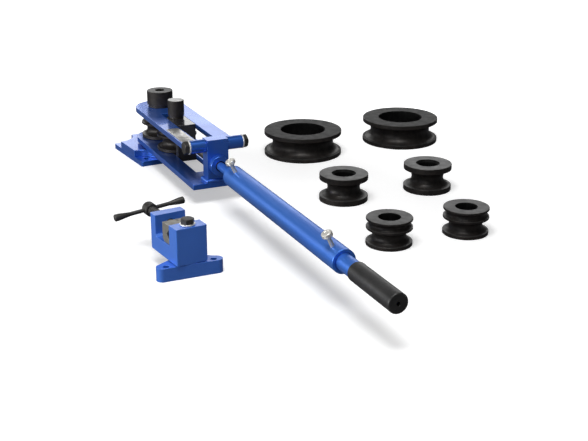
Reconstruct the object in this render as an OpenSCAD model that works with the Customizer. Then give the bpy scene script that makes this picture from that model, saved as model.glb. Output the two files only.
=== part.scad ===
// Hand pipe bender: a swinging forked lever over a bolted base, a screw-fed bending
// roller, a plain steel vise for the tube and six loose rollers for other tube sizes.
// The lever turns about the vertical axis through the origin, the underside of the
// base plate lies on z = 0, and the lever points along +X before its rest swing.

/* [Base] */
// Length of the base plate along the lever
base_length = 150; // [130:1:200]
// Width of the base plate across the lever
base_width = 144; // [130:1:200]
// Distance of the base plate's centre behind the pivot
base_set_back = 8; // [0:1:20]
// Thickness of the base plate
base_thick = 10; // [8:1:16]
// Corner radius of the base plate
base_corner_r = 4; // [1:1:10]
// Spacing of the base bolt holes along the lever
base_hole_spacing_x = 114; // [100:1:120]
// Spacing of the base bolt holes across the lever
base_hole_spacing_y = 110; // [100:1:116]
// Diameter of the base bolt holes
base_hole_d = 11; // [6:0.5:14]
// Thickness of the cross-shaped plate on the base plate
cross_thick = 14; // [8:1:24]
// Radius of the arcs that clear the base bolt heads
cross_notch_r = 38; // [30:1:42]
// Depth of the pivot pin's blind hole in the base plate
pin_socket_depth = 6; // [2:0.5:8]
// Outer diameter of the thrust washer under the lever
pivot_washer_d = 70; // [50:1:90]
// Thickness of the thrust washer under the lever
pivot_washer_thick = 4.5; // [2:0.5:8]

/* [Lever] */
// Angle of the lever from the base plate's length at rest
swing_rest = 5; // [0:1:20]
// Width of both lever arms
arm_width = 99; // [80:1:120]
// Thickness of both lever arms
arm_thick = 10; // [6:1:14]
// Clear height between the lower and the upper arm
arm_gap = 52; // [50:1:70]
// Distance from the pivot to the lower arm's square end
lower_arm_reach = 333; // [326:1:360]
// Distance from the pivot to the near end of the slots
slot_start = 62; // [50:1:70]
// Distance from the pivot to the far end of the slots
slot_end = 262; // [200:1:280]
// Width of the slots in both arms
slot_width = 37; // [30:1:44]
// Distance from the lower arm's square end back to the post
post_set_back = 3; // [0:0.5:12]
// Thickness of the post along the lever
post_thick = 25; // [22:1:30]
// Width of the post across the lever
post_width = 40; // [30:1:50]
// Leg of the weld beads at the foot of the post
weld_leg = 5; // [2:0.5:8]
// Height of the hinge axis above the middle of the upper arm
hinge_rise = 9; // [8:0.5:11]
// Outer diameter of the hinge knuckles
knuckle_d = 24; // [22:1:25]
// Overlap of the upper arm's plate into the knuckles
knuckle_bite = 6; // [4:0.5:10]
// Leg of the weld beads between the upper arm and its knuckles
knuckle_weld_leg = 4; // [2:0.5:5]
// Diameter of the screw boss on the post
boss_d = 36; // [30:1:39]
// Length of the screw boss
boss_length = 12; // [6:1:20]
// Chamfer on the outer edge of the screw boss
boss_chamfer = 2; // [0.5:0.5:4]

/* [Hinge bolt] */
// Shank diameter of the hinge bolt
hinge_bolt_d = 14; // [10:1:16]
// Width across flats of the hinge bolt's head and nut
hinge_flats = 21; // [17:1:22]
// Height of the hinge bolt's head
hinge_head_height = 9; // [6:0.5:12]
// Height of the hinge nut
hinge_nut_height = 8; // [6:0.5:12]
// Length of shank that stands out of the nut
hinge_bolt_end = 2; // [1:0.5:6]
// Outer diameter of the hinge washers
hinge_washer_d = 25; // [22:1:28]
// Thickness of the hinge washers
hinge_washer_thick = 2.5; // [1:0.5:4]

/* [Pins] */
// Body diameter of the centre pin
centre_pin_d = 36; // [30:1:36]
// Diameter of the centre pin's head
centre_head_d = 52; // [44:1:60]
// Height of the centre pin's head
centre_head_height = 27; // [15:1:35]
// Diameter of the collar under the centre pin's head
centre_collar_d = 48; // [40:1:52]
// Height of the collars under both pin heads
collar_height = 5.5; // [2:0.5:8]
// Diameter of the hole in the top of the centre pin
centre_top_hole_d = 19; // [8:1:24]
// Depth of the hole in the top of the centre pin
centre_top_hole_depth = 12; // [4:1:20]
// Distance from the pivot to the roller pin at rest
roller_pin_x = 100; // [96:1:104]
// Body diameter of the roller pin
roller_pin_d = 24; // [20:1:26]
// Diameter of the roller pin's head
roller_head_d = 32; // [28:1:34]
// Height of the roller pin's head
roller_head_height = 30; // [15:1:35]
// Diameter of the collar under the roller pin's head
roller_collar_d = 29; // [26:1:30]
// Chamfer on the ends of both pins
pin_chamfer = 1; // [0.5:0.5:2]

/* [Carriage] */
// Side clearance of the carriage in the slots
slide_clearance = 0.25; // [0.1:0.05:0.4]
// Distance from the roller pin to the back face of the web
web_back = 46; // [44:0.5:48]
// Thickness of the carriage web
web_thick = 14; // [8:1:20]
// Radius of the inside corners between web and fork arms
web_fillet = 4; // [1:0.5:5]

/* [Feed screw] */
// Height of the feed screw's axis above the floor
feed_z = 70.5; // [69:0.5:73]
// Outer diameter of the feed screw's thread
feed_thread_d = 18; // [16:1:20]
// Pitch of the feed screw's thread
feed_pitch = 4; // [2:1:5]
// Depth of the feed screw's thread
feed_thread_depth = 1.6; // [0.5:0.1:1.8]
// Share of the pitch taken by the flat crest of a thread
crest_share = 0.36; // [0.2:0.02:0.5]
// Share of the pitch taken by the flat root of a thread
root_share = 0.3; // [0.2:0.02:0.4]
// Diameter of the plain part of the feed screw
feed_rod_d = 15; // [12:1:15]
// Diameter of the feed screw's nose in the carriage web
feed_nose_d = 12; // [8:1:14]
// Diameter of the collar that holds the nose in the web
nose_collar_d = 22; // [18:1:26]
// Thickness of the collar that holds the nose in the web
nose_collar_thick = 5; // [3:0.5:6]

/* [Handle] */
// Outer diameter of the handle tube
handle_d = 38; // [36:1:38]
// Wall thickness of the handle tube
handle_wall = 5; // [3:0.5:5]
// Bare rod that shows between the screw boss and the handle tube at rest
handle_standoff = 61; // [53:1:68]
// Length of the handle tube
handle_length = 431; // [423:1:440]
// Length of the bush that joins the feed screw to the handle tube
bush_length = 46; // [42:1:60]
// Chamfer on the ends of the tubes
tube_chamfer = 1; // [0.5:0.5:1.5]

/* [Thumb screws] */
// Distance from the handle tube's near end to the thumb screw near the lever
thumb_a_inset = 31; // [22:1:37]
// Distance from the handle tube's far end to the thumb screw near the grip
thumb_b_inset = 23; // [14:1:130]
// Lean of the thumb screws from the vertical
thumb_lean = 24.5; // [0:0.5:45]
// Shank diameter of the thumb screws
thumb_shank_d = 6.5; // [5:0.5:8]
// Distance from the handle axis to the middle of a thumb screw's head
thumb_head_out = 40; // [36:1:50]
// Diameter of a thumb screw's knurled head
thumb_head_d = 17; // [14:1:22]
// Thickness of a thumb screw's head
thumb_head_thick = 7; // [5:1:10]
// Depth of the knurl on a thumb screw's head
thumb_knurl_depth = 0.5; // [0.2:0.1:0.8]
// Diameter of the neck under a thumb screw's head
thumb_neck_d = 10; // [8:1:14]
// Length of the neck under a thumb screw's head
thumb_neck_length = 3; // [1:0.5:6]

/* [Extension and grip] */
// Outer diameter of the extension tube
extension_d = 27; // [24:1:27]
// Wall thickness of the extension tube
extension_wall = 3; // [2:0.5:4]
// Length of the extension tube that is hidden in the handle tube at rest
extension_inside = 274; // [234:1:310]
// Bare extension tube that shows between the handle tube and the grip at rest
grip_standoff = 39; // [31:1:66]
// Length of the grip
grip_length = 119; // [90:1:150]
// Outer diameter of the grip
grip_d = 30.5; // [30:0.5:34]
// Thickness of the grip's closed end
grip_end_thick = 6; // [4:1:10]
// Edge radius of the grip's closed end
grip_end_r = 2.5; // [1:0.5:6]
// Diameter of the vent hole in the grip's closed end
grip_vent_d = 6; // [3:1:8]

/* [Clamp flange] */
// Place of the clamp's swivel axis along the base plate's length
clamp_x = 612; // [560:1:640]
// Place of the clamp's swivel axis across the base plate's length
clamp_y = -217; // [-260:1:-205]
// Turn of the flange from the base plate's length, seen from above
flange_turn = -5; // [-20:0.5:20]
// Thickness of the clamp flange
flange_thick = 22; // [16:1:24]
// Distance from the swivel axis to the flange's front face
flange_front = 14; // [13:0.5:20]
// Radius of the flange's front corners
flange_corner_r = 10; // [8:1:11]
// Radius of the flange around the swivel axis
flange_back_r = 29; // [25:1:34]
// Spacing of the flange's two bolt holes
flange_hole_spacing = 76.5; // [70:0.5:90]
// Distance from the flange's front face to its bolt holes
flange_hole_inset = 8; // [7:0.5:10]
// Diameter of the flange's bolt holes
flange_hole_d = 10; // [6:0.5:12]
// Wall between each bolt hole and its end of the flange
flange_ear_wall = 10.5; // [8:0.5:14]
// Diameter of the raised seat under the clamp body
seat_d = 30; // [24:1:44]
// Height of the raised seat under the clamp body
seat_height = 0.9; // [0.5:0.1:3]

/* [Clamp body] */
// Turn of the clamp body from the base plate's length at rest, seen from above
body_turn = 1.5; // [-5:0.5:30]
// Width of the clamp body
body_width = 52; // [48:1:56]
// Height of the clamp body's top above the floor
body_top = 82; // [80:1:95]
// Distance from the swivel axis to the body's front face
body_front = 14; // [13:0.5:16]
// Length of the clamp's front block
block_length = 26; // [25:0.5:32]
// Length of the slot between the clamp's front block and its rear wall
mouth_length = 50; // [46:1:60]
// Height of the slot's floor
mouth_floor = 48; // [44:0.5:50]
// Thickness of the clamp's rear wall
rear_wall = 18.5; // [16:0.5:26]
// Radius of the clamp body's upright edges
body_edge_r = 2; // [1:0.5:4]
// Radius of the clamp body's rear bottom edge
body_heel_r = 5; // [2:0.5:10]
// Chamfer between the slot's floor and its rear wall
slot_chamfer = 3.5; // [1:0.5:5]
// Shank diameter of the swivel bolt
swivel_bolt_d = 12; // [10:1:14]
// Width across flats of the swivel bolt's head
swivel_flats = 19; // [17:1:20]
// Height of the swivel bolt's head
swivel_head_height = 8; // [6:0.5:10]
// Height of the swivel bolt's lower end above the floor
swivel_end_z = 6; // [4:1:12]
// Outer diameter of the swivel bolt's washer
swivel_washer_d = 24; // [22:1:24]
// Thickness of the swivel bolt's washer
swivel_washer_thick = 2.5; // [1:0.5:4]

/* [Clamp jaw and screw] */
// Gap between the front block and the jaw at rest
jaw_gap = 3; // [1:0.5:20]
// Length of the jaw along the clamp
jaw_length = 26; // [22:1:28]
// Width of the jaw
jaw_width = 47; // [40:1:48]
// Height of the jaw
jaw_height = 30; // [26:1:31]
// Depth of the jaw's V
jaw_v_depth = 10.6; // [6:0.1:12]
// Height of the flat lands above and below the jaw's V
jaw_land = 3; // [2:0.5:6]
// Diameter of the hole in the jaw's top for the pin that holds the screw's nose
jaw_hole_d = 5; // [2:0.5:6]
// Depth of the hole in the jaw's top
jaw_hole_depth = 7; // [3:0.5:8]
// Distance from the jaw's back to the hole in its top
jaw_hole_inset = 4.5; // [4:0.5:10]
// Height of the clamp screw's axis
clamp_screw_z = 64; // [61:0.5:66]
// Outer diameter of the clamp screw's thread
clamp_thread_d = 16; // [14:1:16]
// Pitch of the clamp screw's thread
clamp_pitch = 3; // [2:0.5:4]
// Depth of the clamp screw's thread
clamp_thread_depth = 1.2; // [0.5:0.1:1.4]
// Depth of the clamp screw's nose in the jaw
clamp_nose_depth = 8; // [4:1:10]
// Diameter of the clamp screw's nose
clamp_nose_d = 10; // [8:1:12]
// Diameter of the clamp screw's head
clamp_head_d = 22; // [18:1:26]
// Length of the clamp screw's head
clamp_head_length = 20; // [14:1:26]
// Edge radius of the clamp screw's head
clamp_head_r = 4; // [2:0.5:6]
// Distance from the rear wall to the middle of the clamp screw's head
clamp_head_back = 61; // [50:1:66]
// Length of the clamp's cross bar
bar_length = 122.6; // [90:0.2:140]
// Diameter of the cross bar between its flared ends
bar_d = 6.6; // [5:0.2:8]
// Diameter of the cross bar's flared ends
bar_end_d = 12; // [9:0.5:14]
// Length of the straight part of each flared end
bar_end_length = 9; // [5:1:14]
// Length of each flare
bar_flare_length = 18; // [8:1:22]
// Lean of the cross bar from the level
bar_lean = 4.5; // [0:0.5:45]

/* [Rollers] */
// Outer diameter of the small rollers
small_d = 77.6; // [70:0.2:78]
// Height of the small rollers
small_height = 46.5; // [45:0.5:49]
// Bore of the small and medium rollers
roller_bore_d = 36.1; // [36.1:0.1:37]
// Tube radius of the small roller's large groove
small_groove_r = 10.8; // [8:0.1:11]
// Height of the small roller's large groove
small_groove_z = 17; // [15:0.5:18]
// Tube radius of the small roller's upper groove
small_upper_r = 5.8; // [4:0.1:6]
// Height of the small roller's upper groove
small_upper_z = 37.3; // [36:0.1:38]
// Outer diameter of the medium rollers
medium_d = 89; // [84:0.5:89]
// Height of the medium and large rollers
tall_height = 50; // [46:0.5:50]
// Tube radius of the medium roller's groove
medium_groove_r = 15; // [10:0.5:16]
// Bore chamfer of the medium rollers
medium_bore_chamfer = 4; // [1:0.5:6]
// Outer diameter of the large rollers
large_d = 158; // [140:1:160]
// Bore of the large rollers
large_bore_d = 90; // [89.5:0.1:92]
// Tube radius of the large roller's groove
large_groove_r = 16.9; // [10:0.1:18]
// Chamfer on the edges of all rollers
roller_chamfer = 1; // [0.5:0.1:2]
// Inner diameter of the steel bush in the bending roller
follower_bush_bore = 24.1; // [24.1:0.1:26]

/* [Places of the loose rollers] */
// First large roller, along the base plate's length
large_a_x = 135.8; // [130:1:150]
// First large roller, across the base plate's length
large_a_y = 256.1; // [250:1:280]
// Second large roller, along the base plate's length
large_b_x = 153.8; // [130:1:200]
// Second large roller, across the base plate's length
large_b_y = 484.4; // [450:1:520]
// First medium roller, along the base plate's length
medium_a_x = 426.9; // [420:1:440]
// First medium roller, across the base plate's length
medium_a_y = 175.5; // [165:1:190]
// Second medium roller, along the base plate's length
medium_b_x = 451.7; // [440:1:470]
// Second medium roller, across the base plate's length
medium_b_y = 343.9; // [330:1:360]
// First small roller, along the base plate's length
small_a_x = 652.3; // [640:1:670]
// First small roller, across the base plate's length
small_a_y = 124.6; // [115:1:135]
// Second small roller, along the base plate's length
small_b_x = 672.7; // [660:1:690]
// Second small roller, across the base plate's length
small_b_y = 265.4; // [250:1:280]

/* [Fits] */
// Radial clearance of pins and shafts that turn or slide
running_fit = 0.05; // [0.02:0.01:0.1]
// Radial clearance of threads and of shanks in plain holes
loose_fit = 0.3; // [0.2:0.05:0.5]
// Gap between faces that turn or slide past each other
face_gap = 0.3; // [0.2:0.05:0.5]

/* [Hidden] */
cut_extra = 1;
smooth = 96;
fine = 48;
knurl_teeth = 30;
hex_flat_share = 0.866;
hex_chamfer_share = 0.12;
pin_hole_d = centre_pin_d + 2 * running_fit;
cross_z = base_thick;
washer_z = cross_z + cross_thick;
lower_z = washer_z + pivot_washer_thick + face_gap;
lower_top = lower_z + arm_thick;
upper_z = lower_top + arm_gap;
upper_top = upper_z + arm_thick;
post_end = lower_arm_reach - post_set_back;
post_start = post_end - post_thick;
post_mid = post_start + post_thick / 2;
hinge_z = upper_z + arm_thick / 2 + hinge_rise;
post_top = hinge_z + knuckle_d / 2;
knuckle_inner_y = post_width / 2 + face_gap;
knuckle_length = arm_width / 2 - knuckle_inner_y;
upper_reach = post_mid - knuckle_d / 2 + knuckle_bite;
knuckle_foot = sqrt(pow(knuckle_d / 2, 2) - pow(hinge_z - upper_top, 2));
knuckle_bead = upper_reach - post_mid + knuckle_foot + knuckle_weld_leg;
roller_z = lower_top + face_gap;
web_x = roller_pin_x + web_back;
web_front = web_x + web_thick;
carriage_r = slot_width / 2 - slide_clearance;
carriage_lift = face_gap;
feed_nose_start = web_x - face_gap - nose_collar_thick;
feed_thread_start = web_front + face_gap;
feed_thread_end = post_end + boss_length;
handle_bore_d = handle_d - 2 * handle_wall;
handle_start = feed_thread_end + handle_standoff;
handle_end = handle_start + handle_length;
bush_end = handle_start + bush_length;
thumb_a_x = handle_start + thumb_a_inset;
thumb_b_x = handle_end - thumb_b_inset;
extension_start = handle_end - extension_inside;
grip_start = handle_end + grip_standoff;
grip_end = grip_start + grip_length;
rollers_floor = 0;
flange_width = flange_hole_spacing + flange_hole_d + 2 * flange_ear_wall;
block_back = body_front - block_length;
mouth_back = block_back - mouth_length;
body_rear = mouth_back - rear_wall;
jaw_front = block_back - jaw_gap;
jaw_back = jaw_front - jaw_length;
body_under = flange_thick + seat_height + face_gap;
swivel_washer_z = body_top + face_gap;
clamp_head_x = body_rear - clamp_head_back;
jaw_z = mouth_floor + face_gap;
jaw_heel = slot_chamfer + 3 * face_gap;
thumb_tip = extension_d / 2 + face_gap;

// A turned solid with chamfered outer edges
module turned_rod(r, length, chamfer) {
    rotate_extrude($fn = smooth)
        polygon([
            [0, 0],
            [r - chamfer, 0],
            [r, chamfer],
            [r, length - chamfer],
            [r - chamfer, length],
            [0, length]
        ]);
}

// A turned ring with chamfers on all four edges
module turned_ring(outer_r, inner_r, length, outer_chamfer, inner_chamfer) {
    rotate_extrude($fn = smooth)
        polygon([
            [inner_r + inner_chamfer, 0],
            [outer_r - outer_chamfer, 0],
            [outer_r, outer_chamfer],
            [outer_r, length - outer_chamfer],
            [outer_r - outer_chamfer, length],
            [inner_r + inner_chamfer, length],
            [inner_r, length - inner_chamfer],
            [inner_r, inner_chamfer]
        ]);
}

// A rod with ring-shaped ridges that stand for a thread of the same pitch
module ridged_rod(r, depth, pitch, length, crest, root) {
    count = floor(length / pitch);
    slope = (1 - crest - root) / 2;
    rotate_extrude($fn = smooth)
        polygon(concat(
            [[0, 0], [r - depth, 0]],
            [for (i = [0 : count - 1], step = [
                [r - depth, root / 2],
                [r, root / 2 + slope],
                [r, root / 2 + slope + crest],
                [r - depth, 1 - root / 2]
            ]) [step[0], (i + step[1]) * pitch]],
            [[r - depth, length], [0, length]]
        ));
}

// A hexagon bar with both ends rounded off by a cone
module hex_head(flats, height) {
    corner_r = flats / 2 / hex_flat_share;
    chamfer = flats * hex_chamfer_share;
    intersection() {
        rotate([0, 0, 30])
            cylinder(r = corner_r, h = height, $fn = 6);
        rotate_extrude($fn = smooth)
            polygon([
                [0, 0],
                [corner_r, 0],
                [corner_r, height - chamfer / 2],
                [corner_r - chamfer, height],
                [0, height]
            ]);
    }
}

// Turns upright children so that they lie along +X from their origin
module along_x() {
    rotate([0, 90, 0])
        children();
}

// Turns upright children so that they lie along +Y from their origin
module along_y() {
    rotate([-90, 0, 0])
        children();
}

// Turns children from the lever's own frame to its rest swing
module in_lever() {
    rotate([0, 0, -swing_rest])
        children();
}

// Puts children drawn around the swivel axis at the clamp's place
module at_clamp(turn) {
    translate([clamp_x, clamp_y, 0])
        rotate([0, 0, turn])
            children();
}

// A rectangle of given half sizes with rounded corners
module round_rect(length, width, r) {
    hx = length / 2;
    hy = width / 2;
    difference() {
        square([length, width], center = true);
        for (sx = [-1, 1], sy = [-1, 1])
            scale([sx, sy])
                translate([hx - r, hy - r])
                    difference() {
                        square([r + cut_extra, r + cut_extra]);
                        circle(r = r, $fn = fine);
                    }
    }
}

module base_plate() {
    color([0.2, 0.33, 0.72])
        translate([-base_set_back, 0, 0])
            difference() {
                linear_extrude(base_thick)
                    difference() {
                        round_rect(base_length, base_width, base_corner_r);
                        for (sx = [-1, 1], sy = [-1, 1])
                            translate([sx * base_hole_spacing_x / 2, sy * base_hole_spacing_y / 2])
                                circle(d = base_hole_d, $fn = fine);
                    }
                translate([base_set_back, 0, base_thick - pin_socket_depth])
                    cylinder(d = pin_hole_d, h = pin_socket_depth + cut_extra, $fn = smooth);
            }
}

module cross_plate() {
    color([0.16, 0.27, 0.62])
        translate([0, 0, cross_z])
            linear_extrude(cross_thick)
                difference() {
                    translate([-base_set_back, 0])
                        difference() {
                            square([base_length, base_width], center = true);
                            for (sx = [-1, 1], sy = [-1, 1])
                                translate([sx * base_length / 2, sy * base_width / 2])
                                    circle(r = cross_notch_r, $fn = smooth);
                        }
                    circle(d = pin_hole_d, $fn = smooth);
                }
}

module pivot_washer() {
    color([0.13, 0.22, 0.52])
        translate([0, 0, washer_z])
            turned_ring(pivot_washer_d / 2, pin_hole_d / 2, pivot_washer_thick, roller_chamfer / 2, 0);
}

// Outline of a lever arm with a round far end, a slot and the pin hole
module arm_outline(reach) {
    difference() {
        union() {
            circle(d = arm_width, $fn = smooth);
            translate([0, -arm_width / 2])
                square([reach, arm_width]);
        }
        circle(d = pin_hole_d, $fn = smooth);
        translate([slot_start, -slot_width / 2])
            square([slot_end - slot_start, slot_width]);
    }
}

module lower_arm() {
    color([0.18, 0.3, 0.68])
        in_lever()
            translate([0, 0, lower_z])
                linear_extrude(arm_thick)
                    arm_outline(lower_arm_reach);
}

// A weld bead of triangular section, its corner on the +X axis
module weld_bead(leg, length) {
    translate([0, length / 2, 0])
        rotate([90, 0, 0])
            linear_extrude(length)
                polygon([[0, 0], [leg, 0], [0, leg]]);
}

module post() {
    near_bead = min(weld_leg, post_set_back);
    color([0.2, 0.32, 0.7])
        in_lever()
            difference() {
                union() {
                    translate([post_start, -post_width / 2, lower_top])
                        cube([post_thick, post_width, post_top - lower_top]);
                    translate([post_end, 0, lower_top])
                        weld_bead(near_bead, post_width);
                    translate([post_start, 0, lower_top])
                        mirror([1, 0, 0])
                            weld_bead(weld_leg, post_width);
                    for (side = [0, 1])
                        mirror([0, side, 0])
                            translate([post_mid, post_width / 2, lower_top])
                                rotate([0, 0, 90])
                                    weld_bead(weld_leg, post_thick);
                }
                translate([post_mid, -arm_width / 2, hinge_z])
                    along_y()
                        cylinder(d = hinge_bolt_d + 2 * loose_fit, h = arm_width, $fn = fine);
                translate([post_start - cut_extra, 0, feed_z])
                    along_x()
                        cylinder(
                            d = feed_thread_d + 2 * loose_fit,
                            h = post_thick + 2 * cut_extra,
                            $fn = smooth
                        );
            }
}

module screw_boss() {
    color([0.2, 0.33, 0.72])
        in_lever()
            translate([post_end, 0, feed_z])
                along_x()
                    difference() {
                        rotate_extrude($fn = smooth)
                            polygon([
                                [0, 0],
                                [boss_d / 2, 0],
                                [boss_d / 2, boss_length - boss_chamfer],
                                [boss_d / 2 - boss_chamfer, boss_length],
                                [0, boss_length]
                            ]);
                        translate([0, 0, -cut_extra])
                            cylinder(
                                d = feed_thread_d + 2 * loose_fit,
                                h = boss_length + 2 * cut_extra,
                                $fn = smooth
                            );
                    }
}

module upper_arm() {
    color([0.22, 0.36, 0.78])
        in_lever()
            difference() {
                union() {
                    translate([0, 0, upper_z])
                        linear_extrude(arm_thick)
                            arm_outline(upper_reach);
                    for (side = [0, 1])
                        mirror([0, side, 0]) {
                            translate([post_mid, knuckle_inner_y, hinge_z])
                                along_y()
                                    cylinder(d = knuckle_d, h = knuckle_length, $fn = smooth);
                            translate([upper_reach, knuckle_inner_y + knuckle_length / 2, upper_top])
                                mirror([1, 0, 0])
                                    weld_bead(knuckle_bead, knuckle_length);
                        }
                }
                translate([post_start - face_gap, -knuckle_inner_y, lower_top])
                    cube([post_thick + 2 * cut_extra, 2 * knuckle_inner_y, post_top]);
                translate([post_mid, -arm_width / 2 - cut_extra, hinge_z])
                    along_y()
                        cylinder(
                            d = hinge_bolt_d + 2 * loose_fit,
                            h = arm_width + 2 * cut_extra,
                            $fn = fine
                        );
            }
}

module hinge_bolt() {
    head_y = -arm_width / 2 - hinge_washer_thick;
    shank_length = -2 * head_y + hinge_nut_height + hinge_bolt_end;
    color([0.2, 0.2, 0.2])
        in_lever()
            translate([post_mid, head_y, hinge_z]) {
                along_y()
                    turned_rod(hinge_bolt_d / 2, shank_length, pin_chamfer);
                mirror([0, 1, 0])
                    along_y()
                        hex_head(hinge_flats, hinge_head_height);
            }
}

module hinge_washers() {
    color([0.8, 0.8, 0.8])
        in_lever()
            for (side = [0, 1])
                mirror([0, side, 0])
                    translate([post_mid, arm_width / 2, hinge_z])
                        along_y()
                            turned_ring(
                                hinge_washer_d / 2,
                                hinge_bolt_d / 2 + loose_fit,
                                hinge_washer_thick,
                                pin_chamfer / 2,
                                0
                            );
}

module hinge_nut() {
    color([0.2, 0.2, 0.2])
        in_lever()
            translate([post_mid, arm_width / 2 + hinge_washer_thick, hinge_z])
                along_y()
                    difference() {
                        hex_head(hinge_flats, hinge_nut_height);
                        translate([0, 0, -cut_extra])
                            cylinder(
                                d = hinge_bolt_d + 2 * running_fit,
                                h = hinge_nut_height + 2 * cut_extra,
                                $fn = fine
                            );
                    }
}

// A pin with a plain body, a collar and a head, its top drilled on request
module headed_pin(body_d, collar_d, head_d, bottom, top, head_height, hole_d, hole_depth) {
    collar_bottom = top + face_gap;
    head_bottom = collar_bottom + collar_height;
    head_top = head_bottom + head_height;
    difference() {
        rotate_extrude($fn = smooth)
            polygon([
                [0, bottom],
                [body_d / 2 - pin_chamfer, bottom],
                [body_d / 2, bottom + pin_chamfer],
                [body_d / 2, collar_bottom],
                [collar_d / 2, collar_bottom],
                [collar_d / 2, head_bottom],
                [head_d / 2 - pin_chamfer / 2, head_bottom],
                [head_d / 2, head_bottom + pin_chamfer / 2],
                [head_d / 2, head_top - pin_chamfer],
                [head_d / 2 - pin_chamfer, head_top],
                [0, head_top]
            ]);
        if (hole_d > 0)
            translate([0, 0, head_top - hole_depth])
                cylinder(d = hole_d, h = hole_depth + cut_extra, $fn = fine);
    }
}

module centre_pin() {
    color([0.17, 0.16, 0.15])
        headed_pin(
            centre_pin_d,
            centre_collar_d,
            centre_head_d,
            base_thick - pin_socket_depth + face_gap,
            upper_top,
            centre_head_height,
            centre_top_hole_d,
            centre_top_hole_depth
        );
}

module roller_pin() {
    color([0.17, 0.16, 0.15])
        in_lever()
            translate([roller_pin_x, 0, 0])
                headed_pin(
                    roller_pin_d,
                    roller_collar_d,
                    roller_head_d,
                    lower_z + carriage_lift + face_gap,
                    upper_top,
                    roller_head_height,
                    0,
                    0
                );
}

// A grooved roller; each groove is given as [height, tube radius]
module roller(outer_d, height, bore_d, bore_chamfer, grooves) {
    difference() {
        turned_ring(outer_d / 2, bore_d / 2, height, roller_chamfer, bore_chamfer);
        for (groove = grooves)
            translate([0, 0, groove[0]])
                rotate_extrude($fn = smooth)
                    translate([outer_d / 2, 0])
                        circle(r = groove[1], $fn = fine);
    }
}

module small_roller() {
    roller(
        small_d,
        small_height,
        roller_bore_d,
        roller_chamfer,
        [[small_groove_z, small_groove_r], [small_upper_z, small_upper_r]]
    );
}

module medium_roller() {
    roller(
        medium_d,
        tall_height,
        roller_bore_d,
        medium_bore_chamfer,
        [[tall_height / 2, medium_groove_r]]
    );
}

module large_roller() {
    roller(
        large_d,
        tall_height,
        large_bore_d,
        roller_chamfer,
        [[tall_height / 2, large_groove_r]]
    );
}

module centre_roller() {
    color([0.2, 0.19, 0.18])
        translate([0, 0, roller_z])
            small_roller();
}

module follower_roller() {
    color([0.2, 0.19, 0.18])
        in_lever()
            translate([roller_pin_x, 0, roller_z])
                small_roller();
}

module follower_bush() {
    color([0.42, 0.42, 0.42])
        in_lever()
            translate([roller_pin_x, 0, roller_z])
                turned_ring(
                    roller_bore_d / 2 - running_fit,
                    follower_bush_bore / 2,
                    small_height,
                    pin_chamfer / 2,
                    pin_chamfer / 2
                );
}

// Side outline of the fork in the plane of the lever, between its two arms
module fork_mouth() {
    mouth_h = arm_gap;
    translate([-carriage_r - cut_extra, lower_top])
        difference() {
            square([web_back + carriage_r + cut_extra, mouth_h]);
            for (top = [0, 1])
                translate([web_back + carriage_r + cut_extra, top * mouth_h])
                    scale([-1, 1 - 2 * top])
                        difference() {
                            square([web_fillet, web_fillet]);
                            translate([web_fillet, web_fillet])
                                circle(r = web_fillet, $fn = fine);
                        }
        }
}

module carriage() {
    bottom = lower_z + carriage_lift;
    height = upper_top - bottom;
    color([0.06, 0.06, 0.07])
        in_lever()
            translate([roller_pin_x, 0, 0])
                difference() {
                    translate([0, 0, bottom])
                        linear_extrude(height)
                            union() {
                                circle(r = carriage_r, $fn = smooth);
                                translate([0, -carriage_r])
                                    square([web_back + web_thick, 2 * carriage_r]);
                            }
                    translate([0, carriage_r + cut_extra, 0])
                        rotate([90, 0, 0])
                            linear_extrude(2 * (carriage_r + cut_extra))
                                fork_mouth();
                    translate([0, 0, bottom - cut_extra])
                        cylinder(
                            d = roller_pin_d + 2 * running_fit,
                            h = height + 2 * cut_extra,
                            $fn = smooth
                        );
                    translate([web_back - cut_extra, 0, feed_z])
                        along_x()
                            cylinder(
                                d = feed_nose_d + 2 * running_fit,
                                h = web_thick + 2 * cut_extra,
                                $fn = fine
                            );
                }
}

module feed_screw() {
    color([0.16, 0.18, 0.26])
        in_lever()
            translate([0, 0, feed_z]) {
                translate([feed_nose_start, 0, 0])
                    along_x()
                        turned_rod(
                            feed_nose_d / 2,
                            feed_thread_start - feed_nose_start + pin_chamfer,
                            pin_chamfer
                        );
                translate([feed_thread_start, 0, 0])
                    along_x()
                        ridged_rod(
                            feed_thread_d / 2,
                            feed_thread_depth,
                            feed_pitch,
                            feed_thread_end - feed_thread_start,
                            crest_share,
                            root_share
                        );
                translate([feed_thread_end - pin_chamfer, 0, 0])
                    along_x()
                        turned_rod(feed_rod_d / 2, bush_end - feed_thread_end + pin_chamfer, pin_chamfer);
            }
}

module nose_collar() {
    color([0.3, 0.3, 0.3])
        in_lever()
            translate([feed_nose_start, 0, feed_z])
                along_x()
                    turned_ring(
                        nose_collar_d / 2,
                        feed_nose_d / 2 + running_fit,
                        nose_collar_thick,
                        pin_chamfer,
                        0
                    );
}

// Hole of given diameter from the handle axis outward along a thumb screw
module thumb_hole(x, d) {
    translate([x, 0, feed_z])
        rotate([thumb_lean, 0, 0])
            cylinder(d = d, h = thumb_head_out, $fn = fine);
}

module handle_bush() {
    color([0.2, 0.33, 0.72])
        in_lever()
            difference() {
                translate([handle_start + face_gap, 0, feed_z])
                    along_x()
                        turned_ring(
                            handle_bore_d / 2 - running_fit,
                            feed_rod_d / 2 + running_fit,
                            bush_length,
                            pin_chamfer,
                            0
                        );
                thumb_hole(thumb_a_x, thumb_shank_d + 2 * loose_fit);
            }
}

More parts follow.
